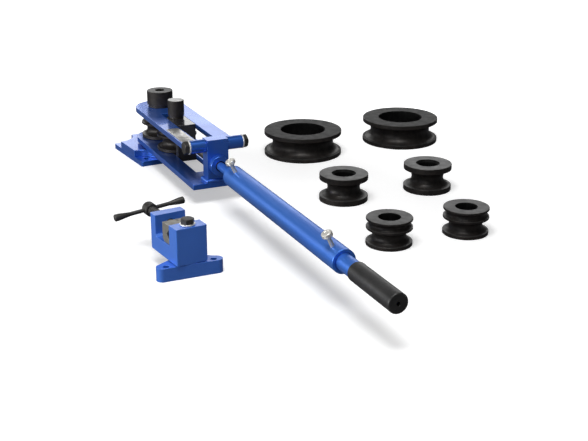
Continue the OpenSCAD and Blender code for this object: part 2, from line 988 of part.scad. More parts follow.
module handle_tube() {
    color([0.2, 0.36, 0.78])
        in_lever()
            difference() {
                translate([handle_start, 0, feed_z])
                    along_x()
                        turned_ring(
                            handle_d / 2,
                            handle_bore_d / 2,
                            handle_length,
                            tube_chamfer,
                            tube_chamfer / 2
                        );
                thumb_hole(thumb_a_x, thumb_shank_d + 2 * loose_fit);
                thumb_hole(thumb_b_x, thumb_shank_d + 2 * loose_fit);
            }
}

// Knurled outline: a star of shallow teeth
module knurl_outline(r, depth) {
    polygon([
        for (i = [0 : 2 * knurl_teeth - 1])
            (r - depth * (i % 2)) * [cos(180 * i / knurl_teeth), sin(180 * i / knurl_teeth)]
    ]);
}

module thumb_screw(x) {
    head_bottom = thumb_head_out - thumb_head_thick / 2;
    neck_bottom = head_bottom - thumb_neck_length;
    head_r = thumb_head_d / 2;
    blank_r = head_r + thumb_knurl_depth;
    color([0.78, 0.77, 0.73])
        in_lever()
            translate([x, 0, feed_z])
                rotate([thumb_lean, 0, 0]) {
                    translate([0, 0, thumb_tip])
                        turned_rod(thumb_shank_d / 2, neck_bottom - thumb_tip + pin_chamfer * 2, pin_chamfer);
                    translate([0, 0, neck_bottom])
                        turned_rod(thumb_neck_d / 2, thumb_neck_length + pin_chamfer, pin_chamfer / 2);
                    translate([0, 0, head_bottom])
                        intersection() {
                            linear_extrude(thumb_head_thick)
                                knurl_outline(head_r, thumb_knurl_depth);
                            turned_rod(blank_r, thumb_head_thick, 3 * thumb_knurl_depth);
                        }
                }
}

module thumb_screw_far() {
    thumb_screw(thumb_a_x);
}

module thumb_screw_near() {
    thumb_screw(thumb_b_x);
}

module extension_tube() {
    color([0.18, 0.32, 0.7])
        in_lever()
            translate([extension_start, 0, feed_z])
                along_x()
                    turned_ring(
                        extension_d / 2,
                        extension_d / 2 - extension_wall,
                        grip_end - grip_end_thick - face_gap - extension_start,
                        tube_chamfer / 2,
                        tube_chamfer / 2
                    );
}

module grip() {
    r = grip_d / 2;
    bore_r = extension_d / 2 + running_fit;
    color([0.05, 0.05, 0.05])
        in_lever()
            translate([grip_start, 0, feed_z])
                along_x()
                    difference() {
                        rotate_extrude($fn = smooth)
                            union() {
                                square([r, grip_length - grip_end_r]);
                                square([r - grip_end_r, grip_length]);
                                translate([r - grip_end_r, grip_length - grip_end_r])
                                    circle(r = grip_end_r, $fn = fine);
                            }
                        translate([0, 0, -cut_extra])
                            cylinder(r = bore_r, h = grip_length - grip_end_thick + cut_extra, $fn = smooth);
                        cylinder(d = grip_vent_d, h = grip_length + cut_extra, $fn = fine);
                    }
}

// Outline of the clamp flange: two round front corners and a round back,
// joined by the straight lines that touch both
module flange_outline() {
    cx = flange_front - flange_corner_r;
    cy = flange_width / 2 - flange_corner_r;
    reach = norm([cx, cy]);
    normal = atan2(-cy, -cx) - acos((flange_corner_r - flange_back_r) / reach);
    nx = cos(normal);
    ny = sin(normal);
    upper = [
        [flange_front, cy],
        [cx, cy],
        [cx + flange_corner_r * nx, cy + flange_corner_r * ny],
        [flange_back_r * nx, flange_back_r * ny]
    ];
    lower = [for (i = [3 : -1 : 0]) [upper[i][0], -upper[i][1]]];
    polygon(concat([[0, 0]], lower, upper));
    intersection() {
        circle(r = flange_back_r, $fn = smooth);
        translate([-flange_back_r, -flange_back_r])
            square([flange_back_r + flange_front, 2 * flange_back_r]);
    }
    for (side = [-1, 1])
        translate([cx, side * cy])
            circle(r = flange_corner_r, $fn = fine);
}

module clamp_base() {
    hole_x = flange_front - flange_hole_inset;
    color([0.2, 0.33, 0.72])
        at_clamp(flange_turn)
            difference() {
                union() {
                    linear_extrude(flange_thick)
                        difference() {
                            flange_outline();
                            for (side = [-1, 1])
                                translate([hole_x, side * flange_hole_spacing / 2])
                                    circle(d = flange_hole_d, $fn = fine);
                        }
                    intersection() {
                        cylinder(d = seat_d, h = flange_thick + seat_height, $fn = smooth);
                        linear_extrude(flange_thick + seat_height)
                            flange_outline();
                    }
                }
                translate([0, 0, swivel_end_z - face_gap])
                    cylinder(d = swivel_bolt_d + 2 * running_fit, h = flange_thick + seat_height, $fn = fine);
            }
}

module clamp_bolt() {
    head_z = swivel_washer_z + swivel_washer_thick;
    color([0.17, 0.16, 0.15])
        at_clamp(flange_turn) {
            translate([0, 0, swivel_end_z])
                turned_rod(swivel_bolt_d / 2, head_z - swivel_end_z + pin_chamfer, pin_chamfer);
            translate([0, 0, head_z])
                hex_head(swivel_flats, swivel_head_height);
        }
}

module clamp_washer() {
    color([0.85, 0.85, 0.87])
        at_clamp(flange_turn)
            translate([0, 0, swivel_washer_z])
                turned_ring(
                    swivel_washer_d / 2,
                    swivel_bolt_d / 2 + running_fit,
                    swivel_washer_thick,
                    pin_chamfer / 2,
                    0
                );
}

// Side outline of the clamp body, x along the clamp and y up
module body_outline() {
    difference() {
        polygon([
            [body_front, body_under],
            [body_front, body_top],
            [block_back, body_top],
            [block_back, mouth_floor],
            [mouth_back + slot_chamfer, mouth_floor],
            [mouth_back, mouth_floor + slot_chamfer],
            [mouth_back, body_top],
            [body_rear, body_top],
            [body_rear, body_under]
        ]);
        translate([body_rear, body_under])
            difference() {
                translate([-cut_extra, -cut_extra])
                    square([body_heel_r + cut_extra, body_heel_r + cut_extra]);
                translate([body_heel_r, body_heel_r])
                    circle(r = body_heel_r, $fn = fine);
            }
    }
}

module clamp_body() {
    length = body_front - body_rear;
    color([0.22, 0.36, 0.8])
        at_clamp(body_turn)
            difference() {
                intersection() {
                    translate([0, body_width / 2, 0])
                        rotate([90, 0, 0])
                            linear_extrude(body_width)
                                body_outline();
                    translate([body_front - length / 2, 0, 0])
                        linear_extrude(body_top + cut_extra)
                            round_rect(length, body_width, body_edge_r);
                }
                translate([0, 0, body_under - cut_extra])
                    cylinder(d = swivel_bolt_d + 2 * loose_fit, h = body_top, $fn = fine);
                translate([body_rear - cut_extra, 0, clamp_screw_z])
                    along_x()
                        cylinder(
                            d = clamp_thread_d + 2 * loose_fit,
                            h = rear_wall + 2 * cut_extra,
                            $fn = fine
                        );
            }
}

module clamp_jaw() {
    v_half = jaw_height / 2 - jaw_land;
    v_mid = jaw_z + jaw_height / 2;
    color([0.55, 0.55, 0.52])
        at_clamp(body_turn)
            difference() {
                translate([0, jaw_width / 2, 0])
                    rotate([90, 0, 0])
                        linear_extrude(jaw_width)
                            polygon([
                                [jaw_back, jaw_z + jaw_heel],
                                [jaw_back + jaw_heel, jaw_z],
                                [jaw_front, jaw_z],
                                [jaw_front, v_mid - v_half],
                                [jaw_front - jaw_v_depth, v_mid],
                                [jaw_front, v_mid + v_half],
                                [jaw_front, jaw_z + jaw_height],
                                [jaw_back, jaw_z + jaw_height]
                            ]);
                translate([jaw_back - cut_extra, 0, clamp_screw_z])
                    along_x()
                        cylinder(
                            d = clamp_nose_d + 2 * running_fit,
                            h = clamp_nose_depth + cut_extra,
                            $fn = fine
                        );
                translate([jaw_back + jaw_hole_inset, 0, jaw_z + jaw_height - jaw_hole_depth])
                    cylinder(d = jaw_hole_d, h = jaw_hole_depth + cut_extra, $fn = fine);
            }
}

module clamp_screw() {
    thread_start = clamp_head_x + clamp_head_length / 2 - pin_chamfer;
    thread_end = jaw_back - face_gap;
    head_r = clamp_head_d / 2;
    half = clamp_head_length / 2;
    color([0.2, 0.2, 0.2])
        at_clamp(body_turn)
            translate([0, 0, clamp_screw_z])
                difference() {
                    union() {
                        translate([thread_start, 0, 0])
                            along_x()
                                ridged_rod(
                                    clamp_thread_d / 2,
                                    clamp_thread_depth,
                                    clamp_pitch,
                                    thread_end - thread_start,
                                    crest_share,
                                    root_share
                                );
                        translate([thread_end - pin_chamfer, 0, 0])
                            along_x()
                                turned_rod(clamp_nose_d / 2, clamp_nose_depth + pin_chamfer, pin_chamfer);
                        translate([clamp_head_x, 0, 0])
                            along_x()
                                rotate_extrude($fn = smooth)
                                    intersection() {
                                        union() {
                                            translate([0, -half + clamp_head_r])
                                                square([head_r, 2 * (half - clamp_head_r)]);
                                            translate([0, -half])
                                                square([head_r - clamp_head_r, 2 * half]);
                                            for (side = [-1, 1])
                                                translate([head_r - clamp_head_r, side * (half - clamp_head_r)])
                                                    circle(r = clamp_head_r, $fn = fine);
                                        }
                                        translate([0, -half])
                                            square([head_r, 2 * half]);
                                    }
                    }
                    translate([clamp_head_x, 0, 0])
                        rotate([bar_lean, 0, 0])
                            translate([0, -clamp_head_d, 0])
                                along_y()
                                    cylinder(d = bar_d + 2 * loose_fit, h = 2 * clamp_head_d, $fn = fine);
                }
}

module clamp_t_bar() {
    r = bar_d / 2;
    end_r = bar_end_d / 2;
    half = bar_length / 2;
    profile = [
        [r, 0],
        [r, half - bar_end_length - bar_flare_length],
        [end_r - pin_chamfer / 2, half - bar_end_length],
        [end_r, half - pin_chamfer],
        [end_r - pin_chamfer, half]
    ];
    mirrored = [for (i = [4 : -1 : 1]) [profile[i][0], -profile[i][1]]];
    color([0.12, 0.12, 0.12])
        at_clamp(body_turn)
            translate([clamp_head_x, 0, clamp_screw_z])
                rotate([bar_lean, 0, 0])
                    along_y()
                        rotate_extrude($fn = smooth)
                            polygon(concat([[0, -half]], mirrored, profile, [[0, half]]));
}

// Puts a loose roller on the floor at its place
module loose(x, y) {
    color([0.18, 0.17, 0.16])
        translate([x, y, rollers_floor])
            children();
}

module large_roller_a() {
    loose(large_a_x, large_a_y)
        large_roller();
}

module large_roller_b() {
    loose(large_b_x, large_b_y)
        large_roller();
}

module medium_roller_a() {
    loose(medium_a_x, medium_a_y)
        medium_roller();
}

module medium_roller_b() {
    loose(medium_b_x, medium_b_y)
        medium_roller();
}

module small_roller_a() {
    loose(small_a_x, small_a_y)
        small_roller();
}

module small_roller_b() {
    loose(small_b_x, small_b_y)
        small_roller();
}

base_plate();
cross_plate();
pivot_washer();
lower_arm();
post();
screw_boss();
upper_arm();
hinge_bolt();
hinge_washers();
hinge_nut();
centre_pin();
centre_roller();
carriage();
roller_pin();
follower_roller();
follower_bush();
feed_screw();
nose_collar();
handle_bush();
handle_tube();
thumb_screw_far();
thumb_screw_near();
extension_tube();
grip();
clamp_base();
clamp_bolt();
clamp_washer();
clamp_body();
clamp_jaw();
clamp_screw();
clamp_t_bar();
large_roller_a();
large_roller_b();
medium_roller_a();
medium_roller_b();
small_roller_a();
small_roller_b();
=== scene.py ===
from math import acos, atan2, cos, pi, radians, sin, tan

import bmesh
import bpy
from mathutils import Matrix, Vector


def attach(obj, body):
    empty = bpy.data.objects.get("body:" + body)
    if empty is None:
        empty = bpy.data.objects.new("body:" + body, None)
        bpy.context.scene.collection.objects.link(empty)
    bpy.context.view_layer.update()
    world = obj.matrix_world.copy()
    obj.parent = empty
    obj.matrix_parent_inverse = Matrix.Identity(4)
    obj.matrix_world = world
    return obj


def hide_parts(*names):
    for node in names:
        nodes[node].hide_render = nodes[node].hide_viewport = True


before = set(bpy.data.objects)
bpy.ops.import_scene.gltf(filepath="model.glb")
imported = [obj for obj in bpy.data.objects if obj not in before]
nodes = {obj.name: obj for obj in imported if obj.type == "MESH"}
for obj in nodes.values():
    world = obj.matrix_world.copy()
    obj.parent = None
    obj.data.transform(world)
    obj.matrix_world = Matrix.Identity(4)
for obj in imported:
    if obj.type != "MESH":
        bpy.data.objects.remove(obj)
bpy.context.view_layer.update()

mm = 0.001
print("scene: frame loaded,", len(nodes), "nodes")

# places at rest in the CAD's frame, in degrees and millimetres
restForm = {
    "leverLean": -5,  # the lever and the clamp's flange, about Z
    "clampLean": 1.5,  # the clamp's body
    "clampSpot": (612, -217, 0),  # its swivel's axis on the floor
    "followerX": 100,  # the bending roller's axis, along the lever
    "workingZ": 39.1,  # underside of the two working rollers
    "axisZ": 70.5,  # the handle's axis
}


def shift(x, y, z):  # from millimetres
    return Matrix.Translation((x * mm, y * mm, z * mm))


def rotate(angle, axis="Z"):
    return Matrix.Rotation(radians(angle), 4, axis)


leverPlace = rotate(restForm["leverLean"])
followerPlace = leverPlace @ shift(restForm["followerX"], 0, 0)
flangePlace = shift(*restForm["clampSpot"]) @ leverPlace
clampPlace = shift(*restForm["clampSpot"]) @ rotate(restForm["clampLean"])
unturned = rotate(0)
ontoX = rotate(90, "Y")
ontoY = rotate(-90, "X")


def onAxis(x, turned=ontoX):  # a place on the handle's axis, where a turned piece lies along it
    return leverPlace @ shift(x, 0, restForm["axisZ"]) @ turned


# node helpers

def setInput(tree, node, key, value):  # i0, i1 and so on count the inputs, any other key names one
    index = int(key[1:]) if key[0] == "i" and key[1:].isdigit() else key.replace("_", " ")
    socket = node.inputs[index]
    if isinstance(value, bpy.types.NodeSocket):
        tree.links.new(value, socket)
    else:
        socket.default_value = value


def addNode(tree, kind, settings=None, **inputs):
    node = tree.nodes.new(kind)
    for key, value in (settings or {}).items():
        setattr(node, key, value)
    for key, value in inputs.items():
        setInput(tree, node, key, value)
    return node


def mathNode(tree, operation, first, second):
    return addNode(tree, "ShaderNodeMath", {"operation": operation}, i0=first, i1=second).outputs[0]


def noiseNode(tree, vector, scale, detail, rough=0.6):
    return addNode(tree, "ShaderNodeTexNoise", None, Vector=vector, Scale=scale, Detail=detail,
                   Roughness=rough).outputs["Fac"]


def rangeNode(tree, value, low, high, toLow=0.0, toHigh=1.0):
    return addNode(tree, "ShaderNodeMapRange", {"clamp": True}, Value=value, From_Min=low, From_Max=high,
                   To_Min=toLow, To_Max=toHigh).outputs[0]


def mixColour(tree, factor, first, second):  # each colour is (r, g, b) or a socket
    node = addNode(tree, "ShaderNodeMix", {"data_type": "RGBA"})
    for key, value in (("i0", factor), ("i6", first), ("i7", second)):
        setInput(tree, node, key, (*value, 1.0) if isinstance(value, tuple) else value)
    return node.outputs[2]


# shader groups: the surface effects several materials share

def newGroup(name, inputs, outputs):  # an input without a value is a vector
    tree = bpy.data.node_groups.new(name, "ShaderNodeTree")
    for label, value in inputs.items():
        kind = "NodeSocketVector" if value is None else "NodeSocketFloat"
        socket = tree.interface.new_socket(label, in_out="INPUT", socket_type=kind)
        if value is not None:
            socket.default_value = value
    for label in outputs:
        tree.interface.new_socket(label, in_out="OUTPUT", socket_type="NodeSocketFloat")
    return tree, tree.nodes.new("NodeGroupInput"), tree.nodes.new("NodeGroupOutput")


def makePaintSkin():  # orange peel and slow colour drift of a sprayed coat
    tree, src, out = newGroup("paintSkin", {"Vector": None, "Peel Scale": 380.0, "Drift Scale": 9.0},
                              ["Drift", "Height"])
    peel = noiseNode(tree, src.outputs["Vector"], src.outputs["Peel Scale"], detail=1.5, rough=0.4)
    drift = noiseNode(tree, src.outputs["Vector"], src.outputs["Drift Scale"], detail=3.0, rough=0.55)
    tree.links.new(drift, out.inputs["Drift"])
    tree.links.new(peel, out.inputs["Height"])
    return tree


# the reach of the edge wear and painted edge highlight in mm, and the spans of bevel and of noise over which
# it sets in
edgeWearAndSheenForm = {"reach": 1.2, "samples": 4, "edgeSpan": (0.985, 0.86), "breakSpan": (0.42, 0.62)}


def makeEdgeWearAndSheen():  # a mask along the edges, broken up by noise: wear, and a painted highlight along the edges
    tree, src, out = newGroup("edgeWearAndSheen", {"Vector": None, "Break Scale": 160.0, "Amount": 0.6}, ["Mask"])
    soft = addNode(tree, "ShaderNodeBevel", {"samples": edgeWearAndSheenForm["samples"]}, Radius=edgeWearAndSheenForm["reach"] * mm)
    sharp = addNode(tree, "ShaderNodeNewGeometry")
    likeness = addNode(tree, "ShaderNodeVectorMath", {"operation": "DOT_PRODUCT"}, i0=soft.outputs[0],
                       i1=sharp.outputs["Normal"])
    edge = rangeNode(tree, likeness.outputs["Value"], *edgeWearAndSheenForm["edgeSpan"])
    breaks = noiseNode(tree, src.outputs["Vector"], src.outputs["Break Scale"], detail=4.0)
    wornAndSheenEdge = mathNode(tree, "MULTIPLY", edge, rangeNode(tree, breaks, *edgeWearAndSheenForm["breakSpan"]))
    tree.links.new(mathNode(tree, "MULTIPLY", wornAndSheenEdge, src.outputs["Amount"]), out.inputs["Mask"])
    return tree


ringStretch = (0.012, 1.0, 1.0)  # rings are drawn out round the piece and fine along it


def makeLatheMarks():  # rings left by a cutting tool, and stains, read from the piece's own map
    tree, src, out = newGroup("latheMarks", {"Map": None, "Ring Scale": 900.0, "Stain Scale": 60.0},
                              ["Height", "Stain"])
    rings = addNode(tree, "ShaderNodeVectorMath", {"operation": "MULTIPLY"}, i0=src.outputs["Map"],
                    i1=ringStretch)
    fine = noiseNode(tree, rings.outputs[0], src.outputs["Ring Scale"], detail=3.0)
    stain = noiseNode(tree, src.outputs["Map"], src.outputs["Stain Scale"], detail=4.0)
    tree.links.new(fine, out.inputs["Height"])
    tree.links.new(stain, out.inputs["Stain"])
    return tree


def makeFineGrain():  # pebble of moulded rubber or of a blasted face
    tree, src, out = newGroup("fineGrain", {"Vector": None, "Grain Scale": 1600.0, "Smudge Scale": 35.0},
                              ["Height", "Smudge"])
    cells = addNode(tree, "ShaderNodeTexVoronoi", None, Vector=src.outputs["Vector"],
                    Scale=src.outputs["Grain Scale"])
    smudge = noiseNode(tree, src.outputs["Vector"], src.outputs["Smudge Scale"], detail=3.0)
    tree.links.new(cells.outputs["Distance"], out.inputs["Height"])
    tree.links.new(smudge, out.inputs["Smudge"])
    return tree


paintSkin = makePaintSkin()
edgeWearAndSheen = makeEdgeWearAndSheen()
latheMarks = makeLatheMarks()
fineGrain = makeFineGrain()


def placeGroup(tree, group, **inputs):
    node = tree.nodes.new("ShaderNodeGroup")
    node.node_tree = group
    for key, value in inputs.items():
        setInput(tree, node, key, value)
    return node


# materials: a pattern blends each pair of tones and of roughnesses, and the edge mask shows the worn colour,
# which is wear and, on the blue paints with their lighter blue, a painted edge highlight

# for each kind: the span of the pattern between its two tones, the bump in mm, and the scale of the noise
# that breaks up the edge wear and painted highlight
surfaceForm = {
    "paint": {"toneSpan": (0.35, 0.68), "bumpDepth": 1.2, "breakScale": 160.0},
    "steel": {"toneSpan": (0.32, 0.70), "bumpDepth": 0.3, "breakScale": 240.0},
    "plain": {"toneSpan": (0.32, 0.70), "bumpDepth": 0.4, "breakScale": 220.0},
}
roughSpan = (0.3, 0.7)


def startMaterial(name):
    material = bpy.data.materials.new(name)
    material.use_nodes = True
    tree = material.node_tree
    coords = addNode(tree, "ShaderNodeTexCoord").outputs["Object"]
    return material, tree, tree.nodes["Principled BSDF"], coords


def layFinish(tree, bsdf, look, form, coords, pattern, height):
    wearAndSheen = placeGroup(tree, edgeWearAndSheen, Vector=coords, Amount=look["wearAndSheen"], Break_Scale=form["breakScale"])
    base = mixColour(tree, rangeNode(tree, pattern, *form["toneSpan"]), *look["tones"])
    base = mixColour(tree, wearAndSheen.outputs["Mask"], base, look["wornAndSheenEdge"])
    tree.links.new(base, bsdf.inputs["Base Color"])
    tree.links.new(rangeNode(tree, pattern, *roughSpan, *look["roughness"]), bsdf.inputs["Roughness"])
    bump = addNode(tree, "ShaderNodeBump", None, Strength=look["bump"], Distance=form["bumpDepth"] * mm,
                   Height=height)
    tree.links.new(bump.outputs[0], bsdf.inputs["Normal"])
    bsdf.inputs["Metallic"].default_value = look["metallic"]
    bsdf.inputs["Specular IOR Level"].default_value = look.get("specular", 0.5)
    bsdf.inputs["Coat Weight"].default_value = look.get("coat", 0.0)
    bsdf.inputs["Coat Roughness"].default_value = look.get("coatRoughness", 0.03)


# one blue paint in three copies: the lever's is darker, a painted shade, and the handle tube's and the
# clamp's are lighter, painted light
paintLook = {
    "leverBlueShaded": {"tones": ((0.040, 0.160, 0.640), (0.028, 0.122, 0.540)), "roughness": (0.24, 0.32),
                  "wornAndSheenEdge": (0.100, 0.250, 0.720), "wearAndSheen": 0.55, "metallic": 0.64, "coat": 0.55,
                  "coatRoughness": 0.06, "bump": 0.035, "peelScale": 380.0},
    "tubeBlueLit": {"tones": ((0.054, 0.200, 0.700), (0.043, 0.165, 0.610)), "roughness": (0.34, 0.44),
                 "wornAndSheenEdge": (0.110, 0.270, 0.740), "wearAndSheen": 0.45, "metallic": 0.62, "coat": 0.12,
                 "coatRoughness": 0.14, "bump": 0.035, "peelScale": 380.0},
    "clampBlueLit": {"tones": ((0.062, 0.205, 0.740), (0.050, 0.170, 0.640)), "roughness": (0.32, 0.44),
                  "wornAndSheenEdge": (0.150, 0.310, 0.900), "wearAndSheen": 0.55, "metallic": 0.30, "coat": 0.4,
                  "coatRoughness": 0.08, "bump": 0.035, "peelScale": 380.0},
}


def makePaint(name, look):
    material, tree, bsdf, coords = startMaterial(name)
    skin = placeGroup(tree, paintSkin, Vector=coords, Peel_Scale=look["peelScale"])
    layFinish(tree, bsdf, look, surfaceForm["paint"], coords, skin.outputs["Drift"], skin.outputs["Height"])
    return material


steelLook = {
    "blackOxide": {"tones": ((0.010, 0.009, 0.009), (0.034, 0.029, 0.026)), "roughness": (0.46, 0.34),
                   "wornAndSheenEdge": (0.20, 0.19, 0.18), "wearAndSheen": 0.3, "metallic": 0.35, "specular": 0.35, "bump": 0.16},
    "blackFace": {"tones": ((0.013, 0.013, 0.013), (0.028, 0.028, 0.027)), "roughness": (0.46, 0.36),
                  "wornAndSheenEdge": (0.16, 0.155, 0.15), "wearAndSheen": 0.5, "metallic": 0.0, "specular": 0.47, "bump": 0.10},
    "dullFace": {"tones": ((0.012, 0.012, 0.012), (0.026, 0.026, 0.025)), "roughness": (0.52, 0.42),
                 "wornAndSheenEdge": (0.14, 0.135, 0.13), "wearAndSheen": 0.5, "metallic": 0.0, "specular": 0.08, "bump": 0.10},
    # painted shade: the walls of the rollers' bores are near black, for the shade inside them
    "paintedBoreShade": {"tones": ((0.003, 0.003, 0.003), (0.008, 0.008, 0.008)), "roughness": (0.62, 0.50),
                  "wornAndSheenEdge": (0.05, 0.05, 0.05), "wearAndSheen": 0.3, "metallic": 0.0, "specular": 0.05, "bump": 0.10},
    "groundFace": {"tones": ((0.38, 0.38, 0.375), (0.60, 0.60, 0.59)), "roughness": (0.46, 0.34),
                   "wornAndSheenEdge": (0.6, 0.59, 0.57), "wearAndSheen": 0.5, "metallic": 0.3, "bump": 0.12},
    "brightSteel": {"tones": ((0.72, 0.72, 0.71), (0.90, 0.90, 0.88)), "roughness": (0.34, 0.20),
                    "wornAndSheenEdge": (0.85, 0.85, 0.84), "wearAndSheen": 0.4, "metallic": 0.55, "bump": 0.12},
    "nickel": {"tones": ((0.66, 0.64, 0.59), (0.84, 0.82, 0.77)), "roughness": (0.36, 0.22),
               "wornAndSheenEdge": (0.9, 0.88, 0.82), "wearAndSheen": 0.3, "metallic": 0.55, "bump": 0.10},
}


def makeTurnedSteel(name, look):  # its marks follow the map that turnedMesh gives a piece
    material, tree, bsdf, coords = startMaterial(name)
    lathe = addNode(tree, "ShaderNodeUVMap", {"uv_map": "turned"}).outputs[0]
    marks = placeGroup(tree, latheMarks, Map=lathe)
    layFinish(tree, bsdf, look, surfaceForm["steel"], coords, marks.outputs["Stain"],
              marks.outputs["Height"])
    return material


plainLook = {
    "castBlack": {"tones": ((0.022, 0.021, 0.020), (0.055, 0.052, 0.048)), "roughness": (0.55, 0.38),
                  "wornAndSheenEdge": (0.22, 0.21, 0.20), "wearAndSheen": 0.6, "metallic": 0.4, "bump": 0.10,
                  "grainScale": 900.0},
    "blackGloss": {"tones": ((0.010, 0.010, 0.012), (0.020, 0.020, 0.024)), "roughness": (0.36, 0.25),
                   "wornAndSheenEdge": (0.12, 0.12, 0.12), "wearAndSheen": 0.5, "metallic": 0.0, "coat": 0.9, "bump": 0.02,
                   "grainScale": 500.0},
    "jawSteel": {"tones": ((0.24, 0.23, 0.20), (0.40, 0.385, 0.35)), "roughness": (0.5, 0.36),
                 "wornAndSheenEdge": (0.6, 0.59, 0.56), "wearAndSheen": 0.8, "metallic": 0.85, "bump": 0.06, "grainScale": 700.0},
    "gripRubber": {"tones": ((0.009, 0.009, 0.009), (0.024, 0.023, 0.023)), "roughness": (0.46, 0.36),
                   "wornAndSheenEdge": (0.07, 0.07, 0.068), "wearAndSheen": 0.6, "metallic": 0.0, "bump": 0.12,
                   "grainScale": 1400.0},
    "plateMetal": {"tones": ((0.30, 0.29, 0.27), (0.80, 0.79, 0.77)), "roughness": (0.34, 0.24),
                   "wornAndSheenEdge": (0.8, 0.79, 0.77), "wearAndSheen": 0.5, "metallic": 0.7, "bump": 0.04,
                   "grainScale": 1200.0},
}


def makePlain(name, look):
    material, tree, bsdf, coords = startMaterial(name)
    grain = placeGroup(tree, fineGrain, Vector=coords, Grain_Scale=look["grainScale"])
    layFinish(tree, bsdf, look, surfaceForm["plain"], coords, grain.outputs["Smudge"],
              grain.outputs["Height"])
    return material


paints = {key: makePaint(key, look) for key, look in paintLook.items()}
steels = {key: makeTurnedSteel(key, look) for key, look in steelLook.items()}
plains = {key: makePlain(key, look) for key, look in plainLook.items()}
print("scene: materials made")


# mesh helpers: profiles are (r, z) in millimetres about the Z axis

# a fillet takes at most this share of its shorter side, and a loop close beside it keeps the flats flat
cornerForm = {"reach": 0.48, "hold": 0.01, "holdMost": 0.15}


def rounded(points, steps=4):  # a third value at a corner is its fillet
    result = []
    for i, point in enumerate(points):
        corner = Vector(point[:2])
        fillet = point[2] if len(point) > 2 else 0
        if fillet <= 0:
            result.append(tuple(corner))
            continue
        back = Vector(points[i - 1][:2]) - corner
        ahead = Vector(points[(i + 1) % len(points)][:2]) - corner
        shortest = min(back.length, ahead.length)
        back.normalize()
        ahead.normalize()
        half = acos(max(-1.0, min(1.0, back.dot(ahead)))) / 2
        away = min(fillet / tan(half), cornerForm["reach"] * shortest)
        fillet = away * tan(half)
        centre = corner + (back + ahead).normalized() * (fillet / sin(half))
        first = corner + back * away - centre
        last = corner + ahead * away - centre
        start = atan2(first.y, first.x)
        turn = (atan2(last.y, last.x) - start + pi) % (2 * pi) - pi
        hold = min(cornerForm["holdMost"], cornerForm["hold"] * shortest)
        result.append(tuple(corner + back * (away + hold)))
        for k in range(steps + 1):
            angle = start + turn * k / steps
            result.append((centre.x + fillet * cos(angle), centre.y + fillet * sin(angle)))
        result.append(tuple(corner + ahead * (away + hold)))
    return result


def sleeveProfile(form):  # its four corners, from the bore at the start to the bore at the end
    bore, radius, length = form["bore"], form["radius"], form["length"]
    corners = ((bore, 0), (radius, 0), (radius, length), (bore, length))
    points = [(*corner, fillet) for corner, fillet in zip(corners, form["fillets"])]
    return rounded(points, form.get("steps", 3))


def link(name, mesh):
    obj = bpy.data.objects.new(name, mesh)
    bpy.context.scene.collection.objects.link(obj)
    return obj


def smoothMesh(mesh, angle=32):
    mesh.shade_smooth()
    mesh.set_sharp_from_angle(angle=radians(angle))


def meshFrom(bm, name):
    mesh = bpy.data.meshes.new(name)
    bm.to_mesh(mesh)
    bm.free()
    return mesh


# a row of less radius is one point on the axis, and a face whose normal is more upright is a flat end
turnedForm = {"point": 1e-6, "flat": 0.97}


def turnedMesh(name, profile, place, ring=False, segments=96, flatFaces=False, bore=0):
    # the profile is a closed loop for a ring, else it runs from the axis to the axis
    bm = bmesh.new()
    layer = bm.loops.layers.uv.new("turned")
    count = len(profile)
    stepRound = 2 * pi * max(r for r, z in profile) * mm / segments
    lengths = [(Vector(profile[(i + 1) % count]) - Vector(profile[i])).length * mm for i in range(count)]
    rows = []
    for r, z in profile:
        angles = [2 * pi * k / segments for k in range(1 if r < turnedForm["point"] else segments)]
        rows.append([bm.verts.new((r * mm * cos(angle), r * mm * sin(angle), z * mm)) for angle in angles])
    for i in range(count if ring else count - 1):
        a, b = rows[i], rows[(i + 1) % count]
        if len(a) == 1 and len(b) == 1:
            continue
        va = sum(lengths[:i])
        vb = va + lengths[i]
        for k in range(segments):
            n = (k + 1) % segments
            ua, ub = stepRound * k, stepRound * (k + 1)
            corners = [(a[k % len(a)], (ua, va))]
            if len(a) > 1:
                corners.append((a[n], (ub, va)))
            corners.append((b[n % len(b)], (ub, vb)))
            if len(b) > 1:
                corners.append((b[k], (ua, vb)))
            face = bm.faces.new([vert for vert, uv in corners])
            for loop, (vert, uv) in zip(face.loops, corners):
                loop[layer].uv = uv
    bmesh.ops.recalc_face_normals(bm, faces=bm.faces)
    if flatFaces:
        for face in bm.faces:
            if abs(face.normal.z) > turnedForm["flat"]:
                face.material_index = 1
            elif face.calc_center_median().xy.length < bore * mm:
                face.material_index = 2
    bm.transform(place)
    mesh = meshFrom(bm, name)
    smoothMesh(mesh)
    return mesh


def finishPiece(obj, body, nodeName=None):
    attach(obj, body)
    if nodeName:
        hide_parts(nodeName)


def turnedPiece(name, nodeName, profile, place, material, body, ring=False, segments=96, face=None,
                bore=0):  # face is the finish of its flat ends, and inside the bore's radius it is painted shade, near black
    mesh = turnedMesh(name, profile, place, ring, segments, face is not None, bore)
    for surface in (material, face, steels["paintedBoreShade"] if bore else None):
        if surface:
            mesh.materials.append(surface)
    finishPiece(link(name, mesh), body, nodeName)


def sleevePiece(name, nodeName, form, place, material, body):
    turnedPiece(name, nodeName, sleeveProfile(form), place, material, body, ring=True,
                segments=form.get("segments", 96))


def evaluated(obj, name):  # the modified object as a plain mesh of its own
    bpy.context.view_layer.update()
    graph = bpy.context.evaluated_depsgraph_get()
    mesh = bpy.data.meshes.new_from_object(obj.evaluated_get(graph), depsgraph=graph)
    mesh.name = name
    bpy.data.objects.remove(obj, do_unlink=True)
    return mesh


def addBevel(obj, width, segments, angle):
    bevel = obj.modifiers.new("edges", "BEVEL")
    bevel.width = width * mm
    bevel.segments = segments
    bevel.limit_method = "ANGLE"
    bevel.angle_limit = radians(angle)


softForm = {"merge": 0.002, "flat": 0.6, "smooth": 60, "bevelAngle": 38, "segments": 2, "normalWeight": 100}


